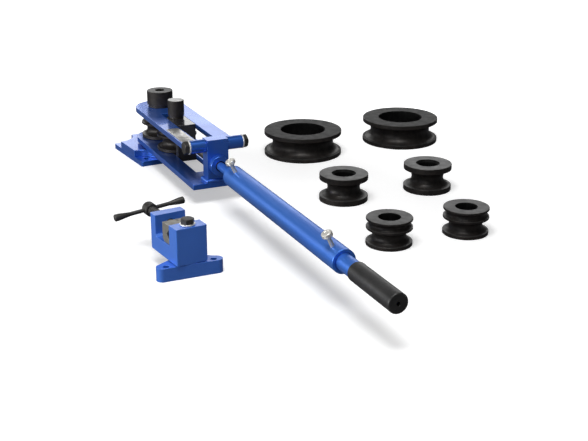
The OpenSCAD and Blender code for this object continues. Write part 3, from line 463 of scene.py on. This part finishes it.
def softEdged(name, nodeName, width, body, material):  # a copy of the node with its edges rounded off
    mesh = nodes[nodeName].data.copy()
    mesh.materials.clear()
    bm = bmesh.new()
    bm.from_mesh(mesh)
    bmesh.ops.remove_doubles(bm, verts=bm.verts, dist=softForm["merge"] * mm)
    bmesh.ops.dissolve_limit(bm, angle_limit=radians(softForm["flat"]), verts=bm.verts, edges=bm.edges)
    bm.to_mesh(mesh)
    bm.free()
    smoothMesh(mesh, softForm["smooth"])
    obj = link(name + "Work", mesh)
    addBevel(obj, width, softForm["segments"], softForm["bevelAngle"])
    normals = obj.modifiers.new("normals", "WEIGHTED_NORMAL")
    normals.weight = softForm["normalWeight"]
    normals.keep_sharp = True
    done = evaluated(obj, name)
    done.materials.clear()
    done.materials.append(material)
    finishPiece(link(name, done), body, nodeName)


def joinMeshes(name, meshes, material):
    bm = bmesh.new()
    for mesh in meshes:
        bm.from_mesh(mesh)
    for face in bm.faces:
        face.material_index = 0
    joined = meshFrom(bm, name)
    joined.materials.append(material)
    smoothMesh(joined)
    return joined


# geometry node trees

def newTree(name, inputs):
    tree = bpy.data.node_groups.new(name, "GeometryNodeTree")
    tree.interface.new_socket("Geometry", in_out="INPUT", socket_type="NodeSocketGeometry")
    for label, kind, value in inputs:
        socket = tree.interface.new_socket(label, in_out="INPUT", socket_type=kind)
        if value is not None:
            socket.default_value = value
    tree.interface.new_socket("Geometry", in_out="OUTPUT", socket_type="NodeSocketGeometry")
    return tree, tree.nodes.new("NodeGroupInput"), tree.nodes.new("NodeGroupOutput")


def endTree(tree, geometry, src, out):
    real = addNode(tree, "GeometryNodeRealizeInstances", None, Geometry=geometry)
    painted = addNode(tree, "GeometryNodeSetMaterial", None, Geometry=real.outputs[0],
                      Material=src.outputs["Material"])
    tree.links.new(painted.outputs[0], out.inputs[0])


def makeThreadTree():  # a helical ridge of diamond section round the Z axis
    tree, src, out = newTree("threadRidge", [
        ("Radius", "NodeSocketFloat", 0.009), ("Depth", "NodeSocketFloat", 0.0016),
        ("Pitch", "NodeSocketFloat", 0.004), ("Turns", "NodeSocketFloat", 10.0),
        ("Steps", "NodeSocketInt", 36), ("Material", "NodeSocketMaterial", None)])
    root = mathNode(tree, "SUBTRACT", src.outputs["Radius"], src.outputs["Depth"])
    height = mathNode(tree, "MULTIPLY", src.outputs["Pitch"], src.outputs["Turns"])
    spiral = addNode(tree, "GeometryNodeCurveSpiral", None, Resolution=src.outputs["Steps"],
                     Rotations=src.outputs["Turns"], Start_Radius=root, End_Radius=root, Height=height)
    upright = addNode(tree, "GeometryNodeSetCurveNormal", {"mode": "Z_UP"}, Curve=spiral.outputs[0])
    section = addNode(tree, "GeometryNodeCurvePrimitiveCircle", None, Resolution=4,
                      Radius=src.outputs["Depth"])
    ridge = addNode(tree, "GeometryNodeCurveToMesh", None, Curve=upright.outputs[0],
                    Profile_Curve=section.outputs[0], Fill_Caps=True)
    endTree(tree, ridge.outputs[0], src, out)
    return tree


def makeWeldTree():  # overlapping drops of weld metal along the given path
    tree, src, out = newTree("weldRipples", [
        ("Spacing", "NodeSocketFloat", 0.0022), ("Bead Radius", "NodeSocketFloat", 0.003),
        ("Least Size", "NodeSocketVector", (0.92, 0.92, 0.62)),
        ("Most Size", "NodeSocketVector", (1.06, 1.06, 0.74)),
        ("Seed", "NodeSocketInt", 4), ("Material", "NodeSocketMaterial", None)])
    path = addNode(tree, "GeometryNodeResampleCurve", {"mode": "LENGTH"}, Curve=src.outputs["Geometry"],
                   Length=src.outputs["Spacing"])
    drop = addNode(tree, "GeometryNodeMeshIcoSphere", None, Radius=src.outputs["Bead Radius"], Subdivisions=2)
    tangent = addNode(tree, "GeometryNodeInputTangent")
    turn = addNode(tree, "FunctionNodeAlignRotationToVector", {"axis": "Z"}, Vector=tangent.outputs[0])
    size = addNode(tree, "FunctionNodeRandomValue", {"data_type": "FLOAT_VECTOR"},
                   i0=src.outputs["Least Size"], i1=src.outputs["Most Size"], Seed=src.outputs["Seed"])
    drops = addNode(tree, "GeometryNodeInstanceOnPoints", None, Points=path.outputs[0],
                    Instance=drop.outputs[0], Rotation=turn.outputs[0], Scale=size.outputs[0])
    endTree(tree, drops.outputs[0], src, out)
    return tree


def makeKnurlTree():  # rows of small four-sided points round a drum on the Z axis
    tree, src, out = newTree("knurlPoints", [
        ("Drum Radius", "NodeSocketFloat", 0.008), ("Drum Height", "NodeSocketFloat", 0.005),
        ("Around", "NodeSocketInt", 36), ("Rows", "NodeSocketInt", 4),
        ("Point Size", "NodeSocketFloat", 0.0009), ("Point Height", "NodeSocketFloat", 0.0006),
        ("Material", "NodeSocketMaterial", None)])
    circle = addNode(tree, "GeometryNodeMeshCircle", None, Vertices=src.outputs["Around"],
                     Radius=src.outputs["Drum Radius"])
    gaps = mathNode(tree, "SUBTRACT", src.outputs["Rows"], 1.0)
    rise = mathNode(tree, "DIVIDE", src.outputs["Drum Height"], gaps)
    step = addNode(tree, "ShaderNodeCombineXYZ", None, Z=rise)
    line = addNode(tree, "GeometryNodeMeshLine", None, Count=src.outputs["Rows"], Offset=step.outputs[0])
    index = addNode(tree, "GeometryNodeInputIndex")
    half = mathNode(tree, "DIVIDE", pi, src.outputs["Around"])
    twist = addNode(tree, "ShaderNodeCombineXYZ", None, Z=mathNode(tree, "MULTIPLY", index.outputs[0], half))
    rows = addNode(tree, "GeometryNodeInstanceOnPoints", None, Points=line.outputs[0],
                   Instance=circle.outputs[0], Rotation=twist.outputs[0])
    spots = addNode(tree, "GeometryNodeRealizeInstances", None, Geometry=rows.outputs[0])
    place = addNode(tree, "GeometryNodeInputPosition")
    outward = addNode(tree, "ShaderNodeVectorMath", {"operation": "MULTIPLY"}, i0=place.outputs[0],
                      i1=(1.0, 1.0, 0.0))
    turn = addNode(tree, "FunctionNodeAlignRotationToVector", {"axis": "Z"}, Vector=outward.outputs[0])
    tip = addNode(tree, "GeometryNodeMeshCone", None, Vertices=4, Radius_Bottom=src.outputs["Point Size"],
                  Radius_Top=0.0, Depth=src.outputs["Point Height"])
    tips = addNode(tree, "GeometryNodeInstanceOnPoints", None, Points=spots.outputs[0],
                   Instance=tip.outputs[0], Rotation=turn.outputs[0])
    endTree(tree, tips.outputs[0], src, out)
    return tree


threadTree = makeThreadTree()
weldTree = makeWeldTree()
knurlTree = makeKnurlTree()


def runTree(name, tree, values, base=None):  # the node tree's result as a plain mesh
    if base is None:
        base = bpy.data.meshes.new(name + "Base")
    obj = link(name + "Work", base)
    modifier = obj.modifiers.new("nodes", "NODES")
    modifier.node_group = tree
    for item in tree.interface.items_tree:
        if item.in_out == "INPUT" and item.name in values:
            modifier[item.identifier] = values[item.name]
    return evaluated(obj, name)


def pathCurve(name, points):  # points in millimetres
    curve = bpy.data.curves.new(name, "CURVE")
    curve.dimensions = "3D"
    spline = curve.splines.new("POLY")
    spline.points.add(len(points) - 1)
    for spot, (x, y, z) in zip(spline.points, points):
        spot.co = (x * mm, y * mm, z * mm, 1)
    return curve


print("scene: node trees made")


# grooved rollers: the loose ones stand on the floor, the working ones between the arms

# each groove is half round: the height of its middle, and its depth
rollerForms = {
    "small": {"radius": 38.8, "height": 46.5, "bore": 18.05, "boreChamfer": 1.0, "face": "blackFace",
              "grooves": [(17.0, 10.8), (37.3, 5.8)]},
    "medium": {"radius": 44.5, "height": 50.0, "bore": 18.05, "boreChamfer": 4.0, "face": "blackFace",
               "grooves": [(25.0, 15.0)]},
    "large": {"radius": 79.0, "height": 50.0, "bore": 45.0, "boreChamfer": 1.0, "face": "dullFace",
              "grooves": [(25.0, 16.9)]},
}
rollerEdges = {"rim": 1.0, "lip": 0.7, "bore": 0.3, "grooveSteps": 20, "segments": 128}
rollerPlaces = {
    "large_roller_a": ("large", shift(135.8, 256.1, 0)),
    "large_roller_b": ("large", shift(153.8, 484.4, 0)),
    "medium_roller_a": ("medium", shift(426.9, 175.5, 0)),
    "medium_roller_b": ("medium", shift(451.7, 343.9, 0)),
    "small_roller_a": ("small", shift(652.3, 124.6, 0)),
    "small_roller_b": ("small", shift(672.7, 265.4, 0)),
    "centre_roller": ("small", shift(0, 0, restForm["workingZ"])),
    "follower_roller": ("small", followerPlace @ shift(0, 0, restForm["workingZ"])),
}


def rollerProfile(form):
    radius, height, bore, chamfer = form["radius"], form["height"], form["bore"], form["boreChamfer"]
    rim, soft, steps = rollerEdges["rim"], rollerEdges["bore"], rollerEdges["grooveSteps"]
    points = [(bore + chamfer, 0, soft), (radius, 0, rim)]
    for z, depth in form["grooves"]:
        for k in range(steps + 1):
            angle = -pi / 2 + pi * k / steps
            lip = rollerEdges["lip"] if k in (0, steps) else 0
            points.append((radius - depth * cos(angle), z + depth * sin(angle), lip))
    points += [(radius, height, rim), (bore + chamfer, height, soft), (bore, height - chamfer, soft),
               (bore, chamfer, soft)]
    return rounded(points, steps=3)


for nodeName, (size, place) in rollerPlaces.items():
    form = rollerForms[size]
    body = "follower" if nodeName == "follower_roller" else nodeName
    turnedPiece(nodeName + "_turned", nodeName, rollerProfile(form), place, steels["blackOxide"], body,
                ring=True, segments=rollerEdges["segments"], face=steels[form["face"]],
                bore=form["bore"] + form["boreChamfer"] + rollerEdges["bore"])
print("scene: rollers turned")


# pins and bush

pinForms = {
    "centre_pin": {"place": unturned, "shank": 18, "collar": 24, "head": 26, "bottom": 4.3, "collarZ": 101.1,
                   "headZ": 106.6, "top": 133.6, "hole": 9.5, "holeDepth": 12, "face": "blackFace"},
    "roller_pin": {"place": followerPlace, "shank": 12, "collar": 14.5, "head": 16, "bottom": 29.4,
                   "collarZ": 101.1, "headZ": 106.6, "top": 136.6, "face": "groundFace"},
}
pinEdges = {"foot": 1.0, "footRound": 0.3, "collar": 0.4, "head": 0.6, "top": 1.0, "hole": 0.5,
            "holeTip": 1.5}


def pinProfile(form):
    shank, bottom, top, foot = form["shank"], form["bottom"], form["top"], pinEdges["foot"]
    points = [(0, bottom), (shank - foot, bottom, pinEdges["footRound"]),
              (shank, bottom + foot, pinEdges["footRound"]), (shank, form["collarZ"]),
              (form["collar"], form["collarZ"], pinEdges["collar"]), (form["collar"], form["headZ"]),
              (form["head"], form["headZ"], pinEdges["head"]), (form["head"], top, pinEdges["top"])]
    if "hole" in form:
        floorZ = top - form["holeDepth"]
        points += [(form["hole"], top, pinEdges["head"]), (form["hole"], floorZ, pinEdges["hole"]),
                   (0, floorZ - pinEdges["holeTip"])]
    else:
        points.append((0, top))
    return rounded(points, steps=3)


for nodeName, form in pinForms.items():
    turnedPiece(nodeName + "_turned", nodeName, pinProfile(form), form["place"], steels["blackOxide"],
                nodeName, face=steels[form["face"]])

bushForm = {"bore": 12.05, "radius": 18.0, "length": 46.5, "fillets": (0.4, 0.4, 0.4, 0.4), "steps": 2}
sleevePiece("follower_bush_turned", "follower_bush", bushForm,
            followerPlace @ shift(0, 0, restForm["workingZ"]), steels["brightSteel"], "follower")
print("scene: pins turned")


# plates, post, clamp and bolts: the body, and the width of the rounded edges

paintedPlates = {
    "base_plate": ("base", 0.8), "cross_plate": ("base", 0.8), "lower_arm": ("lever", 0.8),
    "post": ("lever", 0.8), "upper_arm": ("lever", 0.7), "clamp_base": ("clamp_flange", 1.2),
    "clamp_body": ("clamp", 1.2),
}
# the clamp takes the lighter copy of the paint, painted light, and the lever and base take the darker copy,
# painted shade
for nodeName, (body, width) in paintedPlates.items():
    paint = paints["clampBlueLit" if nodeName.startswith("clamp") else "leverBlueShaded"]
    softEdged(nodeName + "_painted", nodeName, width, body, paint)

# the thrust washer under the lever, and the boss the feed screw runs in
thrustForm = {"z": 24, "bore": 18.05, "radius": 35, "length": 4.5, "fillets": (0, 0.5, 0.8, 0)}
sleevePiece("pivot_washer_turned", "pivot_washer", thrustForm, shift(0, 0, thrustForm["z"]),
            paints["leverBlueShaded"], "base")
bossForm = {"start": 330, "bore": 9.3, "radius": 18, "length": 12, "fillets": (0, 0, 1.2, 0.8), "steps": 4}
sleevePiece("screw_boss_turned", "screw_boss", bossForm, onAxis(bossForm["start"]), paints["leverBlueShaded"],
            "lever")

forkEdge, jawEdge, boltEdge = 0.8, 0.6, 0.5
softEdged("carriage_fork", "carriage", forkEdge, "carriage", plains["blackGloss"])
softEdged("clamp_jaw_steel", "clamp_jaw", jawEdge, "jaw", plains["jawSteel"])
for nodeName, body in (("hinge_bolt", "lever"), ("hinge_nut", "lever"), ("clamp_bolt", "clamp_flange")):
    softEdged(nodeName + "_black", nodeName, boltEdge, body, plains["castBlack"])
print("scene: plates, clamp and bolts finished")


# washers: the hinge has one on each side

hingePlace = leverPlace @ shift(317.5, 0, 104.8)
washerForms = {
    "hinge_washers": {"bore": 7.3, "radius": 12.5, "length": 2.5, "fillets": (0, 0.6, 0.6, 0),
                      "body": "lever",
                      "places": [hingePlace @ shift(0, y, 0) @ ontoY for y in (49.5, -52.0)]},
    "clamp_washer": {"bore": 6.05, "radius": 12.0, "length": 2.5, "fillets": (0, 0.6, 0.6, 0),
                     "body": "clamp_flange", "places": [flangePlace @ shift(0, 0, 82.3)]},
}
for nodeName, form in washerForms.items():
    name = nodeName + "_bright"
    parts = [turnedMesh(name + "Part", sleeveProfile(form), place, ring=True, segments=64)
             for place in form["places"]]
    mesh = joinMeshes(name, parts, steels["brightSteel"])
    finishPiece(link(name, mesh), form["body"], nodeName)
print("scene: washers turned")


# handle: feed screw, tubes and grip

feedForm = {"noseStart": 140.7, "threadStart": 160.3, "threadEnd": 342.0, "rodEnd": 449.0, "nose": 6.0,
            "core": 7.5, "radius": 9.0, "depth": 1.6, "pitch": 4.0, "noseFillet": 0.8, "shoulder": 0.5,
            "endFillet": 0.6, "paintGap": 0.2}
# the handle's bush and tubes take the lighter copy of the paint, painted light
sleeves = {
    "nose_collar": {"piece": "nose_collar_turned", "start": feedForm["noseStart"], "bore": 6.05, "radius": 11,
                    "length": 5, "fillets": (0, 0.8, 0.8, 0), "segments": 64, "body": "handle",
                    "slot": "bright_steel", "finish": steels["blackOxide"]},
    "handle_bush": {"piece": "handle_bush_turned", "start": 403.3, "bore": 7.55, "radius": 13.95,
                    "length": 46, "fillets": (0.5, 0.8, 0, 0), "segments": 64, "body": "handle",
                    "slot": "blue_paint", "finish": paints["tubeBlueLit"]},
    "handle_tube": {"piece": "handle_tube_painted", "start": 403.0, "bore": 14, "radius": 19,
                    "length": 431.0, "fillets": (0.6, 1.0, 1.2, 0.6), "steps": 4, "body": "handle",
                    "slot": "blue_paint", "finish": paints["tubeBlueLit"]},
    "extension_tube": {"piece": "extension_tube_painted", "start": 560, "bore": 10.5, "radius": 13.5,
                       "length": 425.7, "fillets": (0.5, 0.6, 0.6, 0.5), "body": "extension",
                       "slot": "blue_paint", "finish": paints["tubeBlueLit"]},
}
threadSteps = 36  # points in each turn


def threadMesh(name, form, length, place):
    turns = (length - form["pitch"]) / form["pitch"]
    mesh = runTree(name, threadTree, {
        "Radius": form["radius"] * mm, "Depth": form["depth"] * mm, "Pitch": form["pitch"] * mm,
        "Turns": turns, "Steps": threadSteps, "Material": plains["castBlack"]})
    mesh.transform(place @ shift(0, 0, form["pitch"] / 2))
    return mesh


def feedScrew(form):
    length = form["threadEnd"] - form["threadStart"]
    noseZ = form["noseStart"] - form["threadStart"]
    rodZ = form["rodEnd"] - form["threadStart"]
    place = onAxis(form["threadStart"])
    core = turnedMesh("feedCore", rounded([
        (0, noseZ), (form["nose"], noseZ, form["noseFillet"]), (form["nose"], 0),
        (form["core"], 0, form["shoulder"]), (form["core"], length + form["paintGap"]),
        (form["core"], rodZ, form["endFillet"]), (0, rodZ)], steps=2), place, segments=64)
    ridge = threadMesh("feedRidge", form, length, place)
    mesh = joinMeshes("feed_screw_thread", [core, ridge], plains["castBlack"])
    mesh.materials.append(paints["tubeBlueLit"])
    for face in mesh.polygons:  # the plain rod beyond the thread is painted with the handle
        if (leverPlace.inverted() @ face.center).x > form["threadEnd"] * mm:
            face.material_index = 1
    finishPiece(link("feed_screw_thread", mesh), "handle", "feed_screw")


feedScrew(feedForm)
for nodeName, form in sleeves.items():
    sleevePiece(form["piece"], nodeName, form, onAxis(form["start"]), form["finish"], form["body"])

gripForm = {"start": 873.0, "length": 119.0, "radius": 15.25, "bore": 13.55, "vent": 3.0, "endWall": 6.0,
            "boreFillet": 0.5, "lipFillet": 1.2, "endFillet": 2.5, "ventFillet": 0.8, "wallFillet": 0.3}


def gripProfile(form):  # closed at its end but for a vent
    bore, radius, vent, end = form["bore"], form["radius"], form["vent"], form["length"]
    wall = end - form["endWall"]
    return rounded([
        (bore, 0, form["boreFillet"]), (radius, 0, form["lipFillet"]), (radius, end, form["endFillet"]),
        (vent, end, form["ventFillet"]), (vent, wall, form["wallFillet"]), (bore, wall)], steps=5)


turnedPiece("grip_moulded", "grip", gripProfile(gripForm), onAxis(gripForm["start"]), plains["gripRubber"],
            "extension", ring=True)
print("scene: handle made")


# thumb screws: tip, neck and head count from the handle's axis, and the drum is knurled

thumbForm = {"lean": 24.5, "tip": 13.8, "tipRadius": 2.2, "tipLength": 1.2, "tipFillet": 0.3, "shank": 3.25,
             "shankFillet": 0.2, "neck": 33.5, "neckRadius": 5.0, "neckFillet": 0.6, "head": 36.5,
             "headThick": 7.0, "drum": 8.0, "drumFillets": (0.8, 1.2), "dish": 4.6, "dishFloor": 4.2,
             "dishDepth": 0.5, "dishFillets": (0.5, 0.4)}
knurlForm = {"proud": 0.1, "height": 4.6, "lift": 1.2, "around": 34, "rows": 5, "size": 0.92,
             "pointHeight": 0.4}
thumbScrews = {
    "thumb_screw_far": {"x": 434, "body": "thumb_far"},
    "thumb_screw_near": {"x": 811, "body": "thumb_near"},
}


def thumbProfile(form):
    tip, neck, head, top = form["tip"], form["neck"], form["head"], form["head"] + form["headThick"]
    dishZ = top - form["dishDepth"]
    underDrum, overDrum = form["drumFillets"]
    dishEdge, dishFoot = form["dishFillets"]
    return rounded([
        (0, tip), (form["tipRadius"], tip, form["tipFillet"]),
        (form["shank"], tip + form["tipLength"], form["shankFillet"]), (form["shank"], neck),
        (form["neckRadius"], neck, form["neckFillet"]), (form["neckRadius"], head),
        (form["drum"], head, underDrum), (form["drum"], top, overDrum), (form["dish"], top, dishEdge),
        (form["dishFloor"], dishZ, dishFoot), (0, dishZ)], steps=3)


for nodeName, spot in thumbScrews.items():
    name = nodeName + "_knurled"
    place = onAxis(spot["x"], rotate(thumbForm["lean"], "X"))
    core = turnedMesh(name + "Core", thumbProfile(thumbForm), place, segments=64)
    tips = runTree(name + "Tips", knurlTree, {
        "Drum Radius": (thumbForm["drum"] + knurlForm["proud"]) * mm, "Drum Height": knurlForm["height"] * mm,
        "Around": knurlForm["around"], "Rows": knurlForm["rows"], "Point Size": knurlForm["size"] * mm,
        "Point Height": knurlForm["pointHeight"] * mm, "Material": steels["nickel"]})
    tips.transform(place @ shift(0, 0, thumbForm["head"] + knurlForm["lift"]))
    mesh = joinMeshes(name, [core, tips], steels["nickel"])
    finishPiece(link(name, mesh), spot["body"], nodeName)
print("scene: thumb screws made")


# clamp screw and its cross bar, which leans a little and widens towards its ends

clampForm = {"headX": -141.5, "screwZ": 64.0, "headHalf": 10.0, "headRadius": 11.0, "headFillets": (5, 4),
             "sink": 1.0, "threadEnd": -41.3, "core": 6.8, "radius": 8.0, "depth": 1.2, "pitch": 3.0,
             "ridgeGaps": (2, 1), "nose": 5.0, "noseLength": 7.9, "fillet": 0.5, "noseFillets": (0.2, 0.8)}
barForm = {"half": 61.3, "thin": 3.3, "thick": 6.0, "taper": 0.4, "flareStart": 34.3, "flareEnd": 52.3,
           "endFillet": 1.6, "flareFillet": 4, "waistFillet": 8, "lean": 4.5}


def clampScrew(form):
    start = form["headX"] + form["headHalf"] - form["sink"]  # the thread begins inside the head
    length = form["threadEnd"] - start
    headZ, sink, tipZ = form["sink"] - 2 * form["headHalf"], form["sink"], length + form["noseLength"]
    headStart, headEnd = form["headFillets"]
    shoulder, tip = form["noseFillets"]
    core = turnedMesh("clampCore", rounded([
        (0, headZ), (form["headRadius"], headZ, headStart), (form["headRadius"], sink, headEnd),
        (form["core"], sink, form["fillet"]), (form["core"], length, form["fillet"]),
        (form["nose"], length, shoulder), (form["nose"], tipZ, tip), (0, tipZ)], steps=5),
        clampPlace @ shift(start, 0, form["screwZ"]) @ ontoX, segments=72)
    before, after = form["ridgeGaps"]
    ridge = threadMesh("clampRidge", form, length - before - after,
                       clampPlace @ shift(start + before, 0, form["screwZ"]) @ ontoX)
    mesh = joinMeshes("clamp_screw_thread", [core, ridge], plains["castBlack"])
    finishPiece(link("clamp_screw_thread", mesh), "clamp_screw", "clamp_screw")


def crossBar(form):
    half, thin, thick, end = form["half"], form["thin"], form["thick"], form["endFillet"]
    flared, wide, narrow = thick - form["taper"], form["flareEnd"], form["flareStart"]
    outline = [(thick, half, end), (flared, wide, form["flareFillet"]), (thin, narrow, form["waistFillet"])]
    lower = [(r, -z, fillet) for r, z, fillet in outline]
    place = clampPlace @ shift(clampForm["headX"], 0, clampForm["screwZ"]) @ rotate(form["lean"], "X") @ ontoY
    turnedPiece("clamp_bar_flared", "clamp_t_bar", rounded([(0, -half), *lower, *outline[::-1], (0, half)]),
                place, plains["castBlack"], "cross_bar", segments=48)


clampScrew(clampForm)
crossBar(barForm)
print("scene: clamp made")


# weld round the post's foot, and the bare plate on the upper arm

weldForm = {"x": (304.2, 330.4), "y": (-20.8, 20.8), "z": 41.0, "spacing": 2.2, "radius": 3.8, "seed": 4}
plateForm = {"x": (176.0, 268.0), "y": (-46.5, -21.5), "z": 100.8, "thick": 0.8, "corner": 3.0,
             "cornerSteps": 6, "edge": 0.3, "edgeSegments": 2, "edgeAngle": 30}


def weldBead(form):
    (x0, x1), (y0, y1), z = form["x"], form["y"], form["z"]
    path = pathCurve("weldPath", [(x0, y0, z), (x1, y0, z), (x1, y1, z), (x0, y1, z), (x0, y0, z)])
    bead = runTree("weldBead", weldTree, {
        "Spacing": form["spacing"] * mm, "Bead Radius": form["radius"] * mm, "Seed": form["seed"],
        "Material": paints["leverBlueShaded"]}, path)
    bead.transform(leverPlace)
    mesh = joinMeshes("weld_beads", [bead], paints["leverBlueShaded"])
    finishPiece(link("weld_beads", mesh), "lever")


def barePlate(form):
    (x0, x1), (y0, y1), r, steps = form["x"], form["y"], form["corner"], form["cornerSteps"]
    outline = []
    corners = ((x1 - r, y1 - r, 0), (x0 + r, y1 - r, 90), (x0 + r, y0 + r, 180), (x1 - r, y0 + r, 270))
    for cx, cy, start in corners:
        for k in range(steps + 1):
            angle = radians(start + 90 * k / steps)
            outline.append((cx + r * cos(angle), cy + r * sin(angle)))
    bm = bmesh.new()
    low = [bm.verts.new((x * mm, y * mm, form["z"] * mm)) for x, y in outline]
    high = [bm.verts.new((x * mm, y * mm, (form["z"] + form["thick"]) * mm)) for x, y in outline]
    bm.faces.new(low[::-1])
    bm.faces.new(high)
    for i in range(len(low)):
        j = (i + 1) % len(low)
        bm.faces.new((low[i], low[j], high[j], high[i]))
    bmesh.ops.recalc_face_normals(bm, faces=bm.faces)
    bm.transform(leverPlace)
    obj = link("plateWork", meshFrom(bm, "plateWork"))
    addBevel(obj, form["edge"], form["edgeSegments"], form["edgeAngle"])
    mesh = evaluated(obj, "bare_plate")
    mesh.materials.clear()
    mesh.materials.append(plains["plateMetal"])
    smoothMesh(mesh)
    finishPiece(link("bare_plate", mesh), "lever")


weldBead(weldForm)
barePlate(plateForm)
print("scene: weld and plate made")


# floor, light and camera, in metres

# the lift is the floor's own white, least near the object so that its shadow stays, and full further out
floorForm = {"size": 40, "seen": (0.80, 0.80, 0.80), "bounce": (0.16, 0.16, 0.165), "fibreScale": 300.0,
             "fibreSpan": (0.3, 0.7), "fibreTone": (0.99, 1.0), "roughness": 0.9, "lift": (0.36, 1.0),
             "liftSpan": (0.45, 1.0), "liftCentre": (0.45, -0.12, 0.0)}
worldForm = {"lit": 0.07, "seen": 1.0}
white = (1.0, 1.0, 1.0, 1.0)


def makeFloor():  # white paper to the camera, a darker sheet to the light that bounces off it
    material, tree, bsdf, coords = startMaterial("floorPaper")
    fibre = noiseNode(tree, coords, floorForm["fibreScale"], detail=2.0, rough=0.5)
    tone = rangeNode(tree, fibre, *floorForm["fibreSpan"], *floorForm["fibreTone"])
    seen = addNode(tree, "ShaderNodeLightPath").outputs["Is Camera Ray"]
    sheet = mixColour(tree, seen, floorForm["bounce"], floorForm["seen"])
    base = addNode(tree, "ShaderNodeVectorMath", {"operation": "SCALE"}, i0=sheet, Scale=tone)
    tree.links.new(base.outputs[0], bsdf.inputs["Base Color"])
    bsdf.inputs["Roughness"].default_value = floorForm["roughness"]
    bsdf.inputs["Specular IOR Level"].default_value = 0.0
    bsdf.inputs["Emission Color"].default_value = white
    away = addNode(tree, "ShaderNodeVectorMath", {"operation": "DISTANCE"}, i0=coords,
                   i1=floorForm["liftCentre"])
    lift = rangeNode(tree, away.outputs["Value"], *floorForm["liftSpan"], *floorForm["lift"])
    tree.links.new(mathNode(tree, "MULTIPLY", seen, lift), bsdf.inputs["Emission Strength"])
    bpy.ops.mesh.primitive_plane_add(size=floorForm["size"], location=(0, 0, 0))
    floor = bpy.context.object
    floor.name = "floor"
    floor.data.materials.append(material)


def makeWorld():  # white behind the object, a dim room round it
    world = bpy.data.worlds.new("studio")
    bpy.context.scene.world = world
    world.use_nodes = True
    tree = world.node_tree
    background = tree.nodes["Background"]
    background.inputs["Color"].default_value = white
    seen = addNode(tree, "ShaderNodeLightPath").outputs["Is Camera Ray"]
    tree.links.new(rangeNode(tree, seen, 0.0, 1.0, worldForm["lit"], worldForm["seen"]),
                   background.inputs["Strength"])


lamps = {
    "key": {"place": (0.97, -0.38, 2.0), "target": (0.45, 0.02, 0.0), "size": (1.10, 1.10), "radiance": 9.2},
    "backRight": {"place": (-1.38, 1.41, 0.75), "target": (0.3, 0.1, 0.1), "size": (1.72, 0.8),
                  "radiance": 1.75},
    "backLeft": {"place": (-2.15, 0.35, 0.72), "target": (0.0, 0.0, 0.05), "size": (0.85, 0.8),
                 "radiance": 2.0},
    "leftPanel": {"place": (0.2, -2.2, 0.3), "target": (0.35, 0.0, 0.05), "size": (2.4, 0.5),
                  "radiance": 11.5},
    "tubePanel": {"place": (-1.45, -1.50, 0.55), "target": (0.6, 0.0, 0.05), "size": (1.2, 0.95),
                  "radiance": 1.25},
    "frontFill": {"place": (2.2, -1.5, 0.9), "target": (0.6, -0.1, 0.05), "size": (0.8, 0.8),
                  "radiance": 3.0},
}


def softbox(name, form):
    width, height = form["size"]
    light = bpy.data.lights.new(name, "AREA")
    light.shape = "RECTANGLE"
    light.size = width
    light.size_y = height
    light.energy = form["radiance"] * pi * width * height  # in watts
    obj = bpy.data.objects.new(name, light)
    bpy.context.scene.collection.objects.link(obj)
    obj.location = form["place"]
    aim = Vector(form["target"]) - Vector(form["place"])
    obj.rotation_euler = aim.to_track_quat("-Z", "Y").to_euler()
    obj.visible_camera = False


cameraForm = {"place": (2.1147, -0.8752, 0.6927), "azimuth": 60.7, "pitch": 20.3, "lens": 70.41, "sensor": 36,
              "clip": (0.05, 60)}


def makeCamera():
    data = bpy.data.cameras.new("camera")
    data.lens = cameraForm["lens"]
    data.sensor_width = cameraForm["sensor"]
    data.clip_start, data.clip_end = cameraForm["clip"]
    camera = bpy.data.objects.new("camera", data)
    bpy.context.scene.collection.objects.link(camera)
    azimuth, pitch = radians(cameraForm["azimuth"]), radians(cameraForm["pitch"])
    look = Vector((-sin(azimuth) * cos(pitch), cos(azimuth) * cos(pitch), -sin(pitch)))
    camera.location = cameraForm["place"]
    camera.rotation_mode = "QUATERNION"
    camera.rotation_quaternion = look.to_track_quat("-Z", "Y")
    bpy.context.scene.camera = camera


makeFloor()
makeWorld()
for name, form in lamps.items():
    softbox(name, form)
makeCamera()
bpy.context.scene.view_settings.view_transform = "Standard"
print("scene: floor, lamps and camera set")

print("scene: done")
